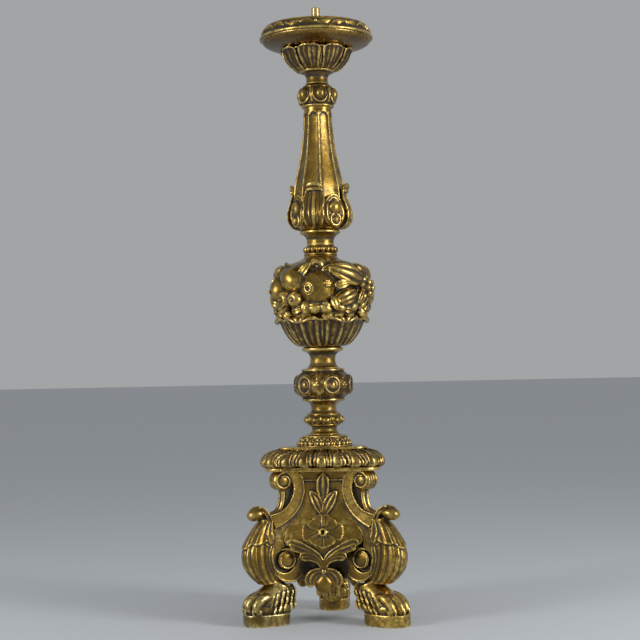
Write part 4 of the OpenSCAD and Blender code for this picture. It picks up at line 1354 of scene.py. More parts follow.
@dataclass
class RoundelKnop:
    """Full knop with six roundels and six small flowers between two rings."""

    seat: float = 353.0
    height: float = 54.0
    roundels: int = 6
    turn: float = 294.6

    def build(self) -> Piece:
        """Builds the turned knop and what is carved round it."""
        z, h = self.seat, self.height
        mid = z + h / 2
        body = turned("roundel_body", [(28, z - 1), (31, z), *arc((32.6, z + 3), 2.6, -80, 75, 7), (33, z + 6.2),
            *arc((26.5, mid), 20.8, -74, 74, 26), (33, z + h - 6.2), *arc((32.6, z + h - 3), 2.6, -75, 80, 7),
            (28, z + h)], steps=240, step=1.3)
        out, spin = compass(self.turn)[0], rotation(self.turn)
        facing = spin @ rotation(90, "Y")
        rim = hoop("roundel_rim", out * 45.3 + (0, 0, mid), 12.2, 1.7, (1.06, 0.98, 1.1), facing)
        rope = hoop("roundel_rope", out * 42.6 + (0, 0, mid), 15.2, 1.15, (1.05, 0.98, 1.2), facing)
        bed = ball("roundel_bed", out * 42.6 + (0, 0, mid), (2.6, 11.5, 12), spin, 32)
        boss = ball("roundel_boss", out * 42.8 + (0, 0, mid), (6.6, 7.6, 8.4), spin, 32)
        parts = [body, *ringed(self.roundels, rim, rope, bed, boss)]
        parts += ringed(self.roundels, *self._flower(self.turn - 180 / self.roundels, mid))
        # The knop takes the darker gilt that paints shade.
        return finished(fused("roundel_knop_carved", parts, voxel=0.9, soften=2), ["roundel_knop"], DARK_SHADE_GILT)

    @staticmethod
    def _flower(azimuth: float, mid: float) -> list[Piece]:
        """A four-petalled button with leaf points above and below it."""
        (out, side), spin = compass(azimuth), rotation(azimuth)
        at = out * 46.4 + (0, 0, mid)
        parts = [ball("button", at + out * 1.0, (2.3, 2.2, 2.2), spin, 14)]
        for across, up in ((1, 0), (-1, 0), (0, 1), (0, -1)):
            parts.append(ball("petal", at + side * 3.4 * across + np.array([0, 0, 3.4 * up]), (1.5, 2.5, 2.5),
                spin, 14))
        for way in (-1, 1):
            rows = [out * r + (0, 0, mid + way * hh) for r, hh in ((45.6, 7), (43.5, 12.5), (38.5, 18), (34.5, 20))]
            parts.append(swept("point", flowing(rows, 6), (0.8, 3.2, 4.4, 5.2), flat=0.3))
        return parts


@dataclass
class SmallKnop:
    """Narrow neck with a flattened knop of oval lobes under arches."""

    seat: float = 300.0
    height: float = 53.0
    lobes: int = 10
    neck: float = 20.5
    turn: float = 283.0

    def build(self) -> Piece:
        """Builds the turned neck and the lobes."""
        z, h, neck = self.seat, self.height, self.neck
        mid = z + 23.5
        body = turned("small_knop_body", [(24, z - 1), (25.5, z), *curve2([(24.6, z + 1), (21.6, z + 4.5),
            (neck - 0.4, z + 9), (21.6, mid - 11)], 6), *arc((24.4, mid - 8.2), 1.9, -70, 80, 6),
            *curve2([(26, mid - 6), (29.5, mid - 4), (31.2, mid - 0.5), (30.6, mid + 3.5), (27.4, mid + 6.6)], 6),
            *arc((25.6, mid + 8.8), 1.9, -60, 85, 6), *curve2([(24, mid + 11), (neck + 0.6, mid + 14),
            (neck, mid + 19), (neck + 0.6, z + h - 6.5), (23.8, z + h - 3), (28.2, z + h - 0.6)], 6),
            (28.6, z + h)], steps=200, step=1.1)
        tilt = rotation(-8, "Y")
        egg = ball("lobe", (27.6, 0, mid - 0.6), (6.6, 7.0, 5.6), tilt, 26)
        arch = hoop("lobe_arch", (28.0, 0, mid + 0.2), 7.8, 1.1, (0.86, 1.06, 1.3), rotation(78, "Y"))
        pin = ball("lobe_pin", (30.6, 0, mid + 1.6), (2.2, 1.5, 4.2), tilt, 12)
        place(pin, turn_points(points_of(pin), 180 / self.lobes))
        parts = [body, *ringed(self.lobes, egg, arch, pin)]
        for part in parts[1:]:
            place(part, turn_points(points_of(part), self.turn))
        return finished(fused("small_knop_carved", parts, voxel=0.7, soften=1), ["small_knop"])


@dataclass
class BeadCollar:
    """Collar that seats the stem: arched niches over a row of beads."""

    seat: float = 281.0
    beads: int = 28
    niches: int = 14

    def build(self) -> Piece:
        """Builds the collar, its niches and its beads."""
        z = self.seat
        body = turned("collar_body", [(40, -1), (45.6, 0), (45.6, 1.2), (42.6, 1.8), (41.6, 5.5),
            *curve2([(40.6, 7.6), (37.4, 11), (34.8, 14)], 6), *arc((34.6, 15.6), 1.7, -60, 90, 6), (30, 17.0),
            (26.6, 17.6), (26, 19)], steps=240, step=1.0, seat=z)
        bead = ball("collar_bead", (42.2, 0, z + 4.6), (3.6, 4.2, 3.7), segments=20)
        arch = hoop("niche_arch", (38.2, 0, z + 10.6), 6.2, 1.15, (0.72, 1.12, 1.0), rotation(52, "Y"), 36)
        drop = ball("niche_drop", (38.0, 0, z + 10.8), (2.4, 2.7, 3.4), rotation(-38, "Y"), 16)
        parts = [body, *ringed(self.beads, bead), *ringed(self.niches, arch, drop)]
        return finished(fused("bead_collar_carved", parts, voxel=0.8, soften=1), ["bead_collar"])


# ---- boards over the base

CAP_PROFILE = ((0.62, 277.0), (0.700, 277.0), (0.708, 277.5), (0.711, 279.0), (0.708, 280.4), (0.700, 281.0),
    (0.40, 281.0))
FILLET_PROFILE = ((0.55, 243.0), (0.912, 243.0), (0.920, 243.8), (0.924, 246.0), (0.920, 248.2), (0.910, 249.0),
    (0.60, 249.0))
GADROON_PROFILE = ((0.60, 249.0), (0.90, 249.0), (0.945, 249.8), (0.972, 251.6), (0.985, 254.0), (0.988, 257.0),
    (0.982, 260.5), (0.966, 264.0), (0.938, 267.6), (0.900, 270.8), (0.852, 273.2), (0.800, 274.8), (0.760, 275.6),
    (0.735, 276.2), (0.728, 277.0), (0.45, 277.0))


@dataclass
class Board:
    """Three-cornered board with round corners, turned edges and perhaps gadroons."""

    name: str
    node: str
    profile: tuple
    reach: float = 82.0
    corner: float = 30.0
    straight: int = 5
    bent: int = 2
    gadroons: bool = False
    across: int = 420

    def build(self) -> Piece:
        """Builds the board from its profile of share of the size and height."""
        scale = self.reach + self.corner
        edge = refined([(k * scale, z) for k, z in self.profile], 0.9)
        ahead = unit(np.gradient(edge, axis=0))
        way = np.cumsum(np.r_[0, np.linalg.norm(np.diff(edge, axis=0), axis=1)])
        ends = [edge[0] * (k, 1) for k in (0.03, 0.5)], [edge[-1] * (k, 1) for k in (0.5, 0.03)]
        rows = np.vstack([*ends[0], edge, *ends[1]])
        normals = np.vstack([[(0, -1)] * 2, np.column_stack([ahead[:, 1], -ahead[:, 0]]), [(0, 1)] * 2])
        share = np.r_[0, 0, way / way[-1], 1, 1]
        lobes = 3 * (self.straight + self.bent)

        def rule(u: np.ndarray, v: np.ndarray) -> np.ndarray:
            i = np.clip(np.rint(v * (len(rows) - 1)).astype(int), 0, len(rows) - 1)
            s = u * lobes
            high = self._gadroon(s, share[i]) if self.gadroons else 0.25 * np.sin(s * 1.7) * (share[i] > 0)
            k = rows[i, 0] / scale
            x, y = self._edge(s, k * self.reach, k * self.corner + normals[i, 0] * high)
            return np.column_stack([x, y, rows[i, 1] + normals[i, 1] * high])

        board = capped(draped(self.name, self.across, len(rows) - 1, rule))
        # The gadroon board takes the darker gilt that paints shade.
        return finished(board, [self.node], DARK_SHADE_GILT if self.gadroons else GILT)

    def _edge(self, s: np.ndarray, reach: np.ndarray, corner: np.ndarray) -> tuple[np.ndarray, np.ndarray]:
        """Where the board's edge runs, s gadroons from the start of its front side."""
        per_side = self.straight + self.bent
        side = np.floor(s / per_side + 1e-9)
        at = s - side * per_side
        out = np.radians(PANEL_ANGLES[0] + 120 * side)
        turn = out + TAU / 3 * np.clip((at - self.straight) / self.bent, 0, 1)
        along = (np.clip(at / self.straight, 0, 1) - 0.5) * reach * math.sqrt(3)
        return (reach / 2 * np.cos(out) - along * np.sin(out) + corner * np.cos(turn),
            reach / 2 * np.sin(out) + along * np.cos(out) + corner * np.sin(turn))

    @staticmethod
    def _gadroon(s: np.ndarray, t: np.ndarray) -> np.ndarray:
        """Height of a gadroon: a swelling lobe, and in it a tongue inside a U-shaped groove."""
        x = 2 * ((s + 0.10 * (t - 0.5)) % 1.0) - 1 + 0.05 * np.sin(np.floor(s) * 2.7)
        side = np.clip(np.abs(x), 0, 1)
        deep = 5.2 * eased(t, 0.0, 0.15) * (1 - 0.8 * eased(t, 0.72, 1.0))
        lobe = deep * (np.sqrt(1 - side ** 3.0) - 1)
        half = 0.50 - 0.25 * eased(t, 0.30, 1.0)
        under = np.maximum(0.34 - t, 0) / 0.20
        apart = np.hypot(x / half, under) - 1
        fade = eased(t, 0.02, 0.10) * (1 - eased(t, 0.86, 1.0))
        tongue = 1.2 * (1 - eased(apart, -0.95, 0.05))
        return lobe + fade * (tongue - 2.0 * hump(apart - 0.24, 0.19))


# ---- base

def upright(name: str, outline: Rows, low: float, high: float) -> Piece:
    """A board with an outline in x and y, between two heights."""
    obj = slab(name, outline, high - low, 1.2)
    p = points_of(obj)
    return mend(place(obj, np.column_stack([p[:, 0], p[:, 2], (low + high) / 2 + p[:, 1]])))


def set_back(obj: Piece, depth: float) -> Piece:
    """Moves a shape into the ground of a panel."""
    return place(obj, points_of(obj) + (0, depth, 0))


def mirrored(parts: Sequence[Piece]) -> list[Piece]:
    """The parts and their mirror images across the plane y = 0."""
    pairs = list(parts)
    for part in parts:
        twin = twin_of(part)
        pairs.append(mend(place(twin, points_of(twin) * (1, -1, 1))))
    return pairs


def spread(obj: Piece, node: str, turns: Sequence[float], drift: np.ndarray | float = 0.0,
           drifts: Sequence[float] = (0, 0, 0)) -> list[Piece]:
    """Finishes the modelled piece once for each of its CAD nodes, turned to its place.

    Args:
        obj: The piece, in millimetres, as drawn along +X or facing -Y.
        node: Name of the CAD nodes that the copies stand for, without its number.
        turns: The turn of each copy about the stem's axis, in degrees.
        drift: For each point, how far along X it follows the carver's uneven hand.
        drifts: How far that is on each copy.

    Returns:
        The finished pieces.
    """
    p = points_of(obj)
    along = np.zeros(p.shape)
    along[:, 0] = drift
    pieces = [obj, *(twin_of(obj) for _ in turns[1:])]
    for k, (piece, turn, far) in enumerate(zip(pieces, turns, drifts), 1):
        piece.name = f"{node}_{k}_carved"
        finished(place(piece, turn_points(p + along * far, turn)), [f"{node}_{k}"])
    return pieces


@dataclass
class Console:
    """Scroll console: two straps, two volutes, an acanthus belly and a rolled leaf tip.

    It is drawn along +X, as radius and height.
    """

    half: float = 14.0
    low_centre: tuple = (71.5, 93.8)
    low_r: float = 28.0
    low_eye: tuple = (75.4, 101.6)
    eye_r: float = 15.0
    channel_r: float = 18.2
    channel_shift: tuple = (3.9, -1.9)
    top_centre: tuple = (79.3, 227.5)
    top_r: float = 15.6
    knob: tuple = (125.5, 176.0)
    lip: tuple = ((57, 243), (48.5, 234), (45, 222), (44.8, 206), (52.2, 186.5), (65.5, 171), (81, 160.4),
        (94.5, 153.8))
    outer: tuple = ((105, 173.5), (84.6, 179), (71.5, 189), (62.8, 204), (61.4, 215))
    inner: tuple = ((34, 243), (32.5, 214), (34.5, 196), (42, 174), (57, 160.5), (75, 149.5), (81.5, 138),
        (80, 123))
    wall: tuple = ((103, 108), (101.2, 121), (99, 138), (96.8, 151))
    back: tuple = ((101, 173), (89, 177), (82.5, 186), (79, 199), (78.5, 214))
    side_edge: tuple = ((84, 65), (92, 71), (98.5, 82), (102, 97), (102.4, 112), (100.6, 127), (98, 143), (98, 155),
        (104, 167))
    front: tuple = ((112, 62.4), (124, 67.5), (136, 77), (146, 91), (149.6, 106), (147.6, 121), (140, 136.5),
        (129, 151), (121, 161), (117.5, 169))
    widths: tuple = ((0, 14.5), (0.1, 18.5), (0.25, 22), (0.42, 23), (0.6, 21), (0.8, 16.5), (1, 12.5))

    def build(self) -> None:
        """Builds one console and its copies for the three legs."""
        parts = [*self._straps(), *self._low_volute(), *self._top_volute(), self._belly(), *self._knob()]
        console = fused("console", parts, voxel=0.95, soften=2)
        p = points_of(console)
        spread(console, "console", LEG_ANGLES, eased(p[:, 0], 92, 148), (-4.5, 0, -2))

    def _straps(self) -> list[Piece]:
        """The core, the two straps that lie over each other, and the ridges of the outward face."""
        lip, outer = curve2(self.lip, 8), curve2(self.outer, 8)
        inner, wall = curve2(self.inner, 8), curve2(self.wall, 4)
        core = slab("console_core", [(38, 243), *inner[4:], *arc(self.low_centre, 26, 60, 285, 14), (77, 62.2),
            (108, 62.2), (127, 76), (134, 104), (126, 136), (114, 160), *curve2(self.back, 6), (79, 243)], 12.0)
        low = slab("low_strap", [*inner, (97, 121.5), *wall[3:], *reversed(lip)], 2 * self.half - 5.0, 0.8)
        top = slab("top_strap", [*lip, *outer, (62.5, 222), (66, 233), (73, 240), (79, 243)], 2 * self.half, 0.8)
        parts = [core, low, top]
        for line, depth, size in ((lip, self.half - 0.2, 1.35), (inner, self.half - 2.6, 1.25),
                (outer, self.half - 0.3, 1.1)):
            path = np.array([(x, -depth, z) for x, z in line])
            parts += mirrored([swept("strap_edge", path, (0.9, size, size, 0.9))])
        ridge = np.array([(x - 1.6, -5.4, z) for x, z in curve2(self.back[::-1], 8)])
        parts += mirrored([swept("back_ridge", ridge, (3.9, 3.6, 3.6, 4.2))])
        return parts

    def _low_volute(self) -> list[Piece]:
        """The lower volute: a rim round a deep channel, and a domed eye."""
        eye = np.array(self.low_eye)
        hollow = tuple(eye + self.channel_shift)
        rim = slab("volute_rim", [*arc(self.low_centre, self.low_r, 62, 375, 64),
            *arc(hollow, self.channel_r, 2, -290, 60)], 2 * self.half - 1.0, 0.9)
        wall = slab("volute_wall", [*arc(hollow, self.channel_r, 92, -6, 20), (103, 99), (103.5, 112), (101.5, 125),
            (79, 125)], 2 * self.half - 5.0, 0.8)
        floor = slab("volute_floor", arc(self.low_centre, self.low_r - 0.6, 0, 355, 60), 9.0)
        disc = slab("volute_eye", arc(tuple(eye), self.eye_r, 0, 354, 48), 2 * self.half - 3.0, 1.2)
        dome = ball("volute_dome", (eye[0], -self.half + 2.4, eye[1]), (self.eye_r - 2.4, 2.4, self.eye_r - 2.4))
        line = swept("volute_line", self._coil(*eye, 0.7, (165, 215), (self.eye_r - 0.9, -2.8), 40),
            (1.6, 1.5, 1.3, 0.6))
        edge = swept("volute_edge", np.array([(x, -self.half + 0.8, z) for x, z in arc(
            self.low_centre, self.low_r - 1.2, 75, 330, 60)]), (0.8, 1.2, 1.2, 0.8))
        return [rim, wall, floor, disc, *mirrored([dome, line, edge])]

    def _coil(self, x: float, z: float, inside: float, turn: tuple, reach: tuple, count: int) -> np.ndarray:
        """Points of a coil on the console's side: its first angle and radius, and what each gains."""
        rows = []
        for t in np.linspace(0, 1, count):
            a, r = math.radians(turn[0] + turn[1] * t), reach[0] + reach[1] * t
            rows.append((x + r * math.cos(a), inside - self.half, z + r * math.sin(a)))
        return np.array(rows)

    def _top_volute(self) -> list[Piece]:
        """The upper volute: a reeded drum with a spiral on its sides."""
        x, z = self.top_centre
        drum = slab("top_drum", arc(self.top_centre, self.top_r - 0.8, 0, 354, 56), 2 * self.half - 2.4, 0.8)
        reeds = [hoop("drum_reed", (x, y, z), self.top_r - 2.3, 2.7, (1, 1, 1.12),
            rotation(90, "X")) for y in (-10, -3.4, 3.4, 10)]
        spiral = swept("top_spiral", self._coil(x - 1.0, z, 0.2, (100, -400), (self.top_r - 1.6, -6.4), 64),
            (1.9, 1.7, 1.5, 1.3))
        eye = ball("top_eye", (x - 1.2, -self.half + 1.6, z + 0.2), (7.6, 2.4, 7.6), segments=24)
        return [drum, *reeds, *mirrored([spiral, eye])]

    def _belly(self) -> Piece:
        """The acanthus belly: ribs that spread from the knob, in two layers of leaves."""
        edge, front = flowing(self.side_edge, 14), flowing(self.front, 14)
        wide = flowing(self.widths, 8)
        closing = 0.86

        def rule(u: np.ndarray, v: np.ndarray) -> np.ndarray:
            e, f = sampled(edge, v), sampled(front, v)
            out = unit(f - e)
            theta = np.clip(u / closing, 0, 1) * math.pi
            sine, cosine = np.sin(theta), np.cos(theta)
            at = e + (f - e) * (np.clip(sine, 0, 1) ** 0.9)[:, None]
            w = np.interp(v, wide[:, 0], wide[:, 1])
            y = -w * np.sign(cosine) * np.abs(cosine) ** 0.62 * (1 - 0.32 * (1 - sine) ** 3)
            across = theta / math.pi
            bend = across + 0.03 * np.sin(v * 5) * np.cos(theta)
            phase = np.abs(np.sin(math.pi * 9 * bend))
            fine = np.abs(np.sin(math.pi * 27 * bend))
            hem = 127.5 - 6.0 * np.abs(np.sin(3 * theta)) + 11.0 * cosine ** 2
            upper = eased(at[:, 1], hem - 0.7, hem + 0.7)
            shifted = np.abs(np.sin(math.pi * 7 * bend))
            rib = (1 - upper) * phase ** 0.7 + upper * shifted ** 0.7
            fade = eased(v, 0.0, 0.06) * (1 - 0.75 * eased(v, 0.80, 0.97))
            high = fade * (2.7 * rib - 1.4 + 0.5 * fine + 2.2 * upper + 0.8 * upper * hump(at[:, 1] - hem - 1.5, 2.2)
                           + 2.0 * hump(v - 0.075, 0.03))
            high *= eased(sine, 0.0, 0.12)
            at = at + out * (high * (0.25 + 0.75 * sine))[:, None]
            y = y - high * cosine * 0.8
            behind = np.clip((u - closing) / (1 - closing), 0, 1)
            loop = u > closing
            edge_w = 0.68 * w
            at = np.where(loop[:, None], e - out * (5 * np.sin(math.pi * behind))[:, None], at)
            y = np.where(loop, edge_w * (1 - 2 * behind), y)
            return np.column_stack([at[:, 0], y, at[:, 1]])

        return capped(draped("belly", 240, 130, rule))

    def _knob(self) -> list[Piece]:
        """The rolled tip over the belly, its stalk, and the side lobes of the leaf."""
        x, z = self.knob
        def rolled(p: np.ndarray) -> np.ndarray:
            return np.column_stack([np.sign(p[:, 0]) * np.abs(p[:, 0]) ** 0.85, p[:, 1],
                p[:, 2] * (1 - 0.22 * eased(-p[:, 0], 0.0, 1.0))])

        tip = ball("knob", (x, 0, z), (16.4, 12.6, 10.4), rotation(10, "Y"), 40, rolled)
        stalk = Leaf([(100, 0, 156), (103, 0, 166), (107.5, 0, 175.5), (114, 0, 182.5), (122, 0, 186)],
            ((0, 12), (0.35, 11.5), (0.7, 10.5), (1, 7)), thickness=7.0, rib=1.4, rim=0.8,
            veins=2.5).on_face("stalk", (-0.8, 0, 0.6))
        crest = swept("knob_crest", flowing([(108, 0, 178), (116, 0, 185.6), (126, 0, 187.6), (136, 0, 183),
            (141, 0, 175)], 8), (2.4, 2.0, 1.6, 0.8))
        lobes = []
        for spine, widths in ((((103, -11.5, 166), (108, -14.6, 156), (111, -17.6, 146), (108.5, -19.4, 135),
                (104, -18.4, 130)), ((0, 3.5), (0.35, 8.2), (0.7, 9.0), (0.9, 6.4), (1, 2.5))),
                (((101, -14.2, 129), (106.5, -17.5, 122), (109.5, -19, 109), (106, -18.2, 93), (97, -15.5, 78)),
                ((0, 2.5), (0.3, 5.8), (0.6, 6.2), (0.85, 4.8), (1, 1.6)))):
            leaf = Leaf(spine, widths, thickness=3.2, rib=1.0, rim=1.2, vein=1.0, veins=2.0, across=26, along=40)
            lobes.append(leaf.on_face("side_lobe", (0.45, -1, 0)))
        return [tip, stalk, crest, *mirrored(lobes)]


@dataclass
class BasePanel:
    """Panel between two consoles: three leaves, a flower, fronds and a three-lobed drop.

    It is carved flat, facing -Y, and then bent to the shape of the base.
    """

    face: tuple = ((50, 47), (82, 48.5), (102, 51), (128, 52), (143, 50), (159, 45), (175, 38), (188, 34.5),
        (202, 33.5), (243, 33.5))
    rail: tuple = (227.0, 243.0)
    flower: tuple = (0.0, 146.5)
    sprig: float = 172.0
    # Height and depth from the axis within which the panel takes the painted shadow.
    shadow_top: float = 118.0
    shadow_depth: float = 41.0

    def build(self) -> None:
        """Builds one panel and its copies for the three faces."""
        parts = [self._field(), *self._rail(), *self._sprig(), *self._flower(), *self._fronds(), *self._drop()]
        panel = fused("panel", parts, voxel=0.9, soften=2)
        p = points_of(panel)
        p[:, 1] += 9 * eased(p[:, 1], 7.6, 10.5) * (1 - eased(p[:, 2], 108, 122))
        z, d = np.array(curve2(self.face, 6)).T
        back = np.interp(p[:, 2], z, d) - 3.0 * eased(np.abs(p[:, 0]), 12, 48) * eased(p[:, 2], 140, 180)
        place(panel, np.column_stack([p[:, 0], p[:, 1] - back, p[:, 2]]))
        worked(panel, "SMOOTH", factor=0.4, iterations=1)
        panels = spread(panel, "base_panel", [a - PANEL_ANGLES[0] for a in PANEL_ANGLES])
        # Painted shadow: faces low down and deep inside the panel turn near black, for the shade inside the base.
        for panel, degrees in zip(panels, PANEL_ANGLES):
            out = Vector(compass(degrees)[0])
            redressed(panel, INTERIOR_SHADOW_GILT, lambda p: p.z < self.shadow_top and p.dot(out) < self.shadow_depth)

    def _field(self) -> Piece:
        """The plain ground, cut away under the fronds."""
        half = [(54, 243), (54, 200), (60, 160), (64, 132), (60, 127), *curve2([(54, 124), (40, 118), (26, 111.5),
            (13, 101), (5, 89)], 5), (4, 76)]
        field = slab("panel_field", half + [(-x, z) for x, z in reversed(half)], 9.0, 0.6)
        # A sunken ground behind the fronds and drop, which with the painted shadow stands in for the shade inside
        # the base.
        ground = slab("panel_ground", [(-46, 69), (46, 69), (46, 94), (34, 112), (44, 136), (-44, 136), (-34, 112),
            (-46, 94)], 8.0, 0.6)
        set_back(ground, 12.5)
        return joined("panel_field", [set_back(field, 4.5), ground])

    def _rail(self) -> list[Piece]:
        """The top rail and the bead under it."""
        low, high = self.rail
        rail = slab("panel_rail", [(-54, low), (54, low), (54, high), (-54, high)], 12.0, 0.8)
        set_back(rail, 2.0)
        bead = swept("rail_bead", np.array([(x, -3.6, low + 0.8) for x in np.linspace(-54, 54, 40)]), (1.3, 1.3))
        return [rail, bead]

    def _leaf(self, points: Rows, widths: Sequence[tuple[float, float]], lift: float,
              thick: float = 4.0, **carving: float) -> Piece:
        """A leaf on the panel through points of x and z, lifted over the ground."""
        spine = [(x, -lift * (0.55 + 0.45 * k / (len(points) - 1)), z) for k, (x, z) in enumerate(points)]
        return Leaf(spine, widths, thickness=thick, across=26, along=46, **carving).on_face("panel_leaf")

    def _sprig(self) -> list[Piece]:
        """Three long pointed leaves with raised edges, on one stem."""
        s = self.sprig
        carving = {"rib": 1.3, "rim": 1.6, "vein": 1.2, "veins": 1.0}
        parts = [self._leaf([(0, s + 14), (-0.8, s + 36), (0, s + 54), (0.5, s + 67)],
            ((0, 2.5), (0.3, 8.0), (0.55, 9.6), (0.8, 6.4), (1, 0.8)), 3.4, **carving)]
        for k in (-1, 1):
            parts.append(self._leaf([(0.8 * k, s + 1), (6.0 * k, s + 13), (13 * k, s + 26), (20.5 * k, s + 38)],
                ((0, 2.0), (0.35, 7.0), (0.6, 7.6), (0.85, 4.6), (1, 1.0)), 3.6, **carving))
            parts.append(swept("sprig_stem", flowing([(1.2 * k, -3.4, s - 9), (0.9 * k, -3.8, s + 4),
                (3.4 * k, -3.8, s + 16), (7.4 * k, -3.4, s + 22)], 6), (1.3, 1.3, 1.0), facing=(0, -1, 0)))
        return parts

    def _flower(self) -> list[Piece]:
        """Six broad petals round a pierced centre."""
        x, z = self.flower
        parts = []
        for degrees, far in zip((2, 58, 124, 180, 242, 294), (33, 27, 27, 33, 25, 25)):
            a = math.radians(degrees)
            line = [(x + far * t * math.cos(a), z + far * t * math.sin(a)) for t in (0.20, 0.45, 0.75, 1.0)]
            parts.append(self._leaf(line, ((0, 3.4), (0.3, 9.0), (0.65, 13.6), (0.88, 12.4), (1, 6.4)),
                5.0, 4.4, rib=0.35, rim=0.5, vein=0.4, veins=1.0, cup=0.7))
        parts.append(hoop("flower_eye", (x, -6.4, z), 5.0, 2.1, turn=rotation(90, "X"), segments=28))
        for k in range(7):
            a = TAU * k / 7
            parts.append(ball("flower_seed", (x + 7.4 * math.cos(a), -5.6, z + 7.2 * math.sin(a)), 1.7, segments=10))
        return parts

    def _fronds(self) -> list[Piece]:
        """Two pairs of curling fronds that spring from the stem over the drop."""
        parts = []
        for k in (-1, 1):
            parts.append(self._leaf([(0.6 * k, 86), (3 * k, 96.5), (10 * k, 107), (21 * k, 115.5), (33 * k, 121.5),
                (43 * k, 125), (50 * k, 127.6), (53.5 * k, 124.6)], ((0, 3.0), (0.25, 5.4), (0.5, 7.4), (0.75, 9.2),
                (0.92, 7.6), (1, 2.6)),
                5.2, 5.0, rib=1.2, rim=1.2, vein=1.1, veins=1.5, lobes=2.0, lobe_depth=0.14))
            parts.append(self._leaf([(0.6 * k, 88), (6 * k, 98.5), (14 * k, 104.6), (23 * k, 107.6),
                (31 * k, 107.6), (35 * k, 104)], ((0, 2.0), (0.4, 4.4), (0.8, 6.4), (1, 2.0)),
                6.0, 4.4, rib=0.8, rim=1.0, vein=0.8, veins=1.0))
        return parts

    def _drop(self) -> list[Piece]:
        """The drop: a pear-shaped middle lobe between two curled leaves."""
        def pear(p: np.ndarray) -> np.ndarray:
            slim = 1 - 0.38 * eased(p[:, 2], 0.0, 1.0)
            return np.column_stack([p[:, 0] * slim, p[:, 1], p[:, 2]])

        back = slab("drop_back", [(-8, 58), (8, 58), (13, 70), (10, 82), (4, 92), (-4, 92), (-10, 82), (-13, 70)],
            8.0, 1.0)
        parts = [ball("drop", (0, -2.6, 64.0), (15.0, 8.6, 16.6), segments=36, rule=pear), set_back(back, 2.5),
            ball("drop_bud", (0, -4.4, 82), (4.4, 3.6, 6.0), segments=20)]
        for k in (-1, 1):
            parts.append(self._leaf([(3 * k, 83), (11.5 * k, 82), (18 * k, 77), (21.5 * k, 69), (21 * k, 60.5)],
                ((0, 4.0), (0.25, 6.4), (0.55, 8.6), (0.8, 8.0), (1, 3.8)),
                3.4, 7.0, rib=1.0, rim=1.0, vein=0.9, veins=1.5, lobes=2.0, lobe_depth=0.22))
            parts.append(ball("drop_tip", (21.6 * k, -4.4, 61.6), (4.2, 3.2, 3.6), segments=20))
            parts.append(ball("drop_side", (12 * k, -1.0, 72), (6.0, 4.6, 9.0), segments=20))
        return parts


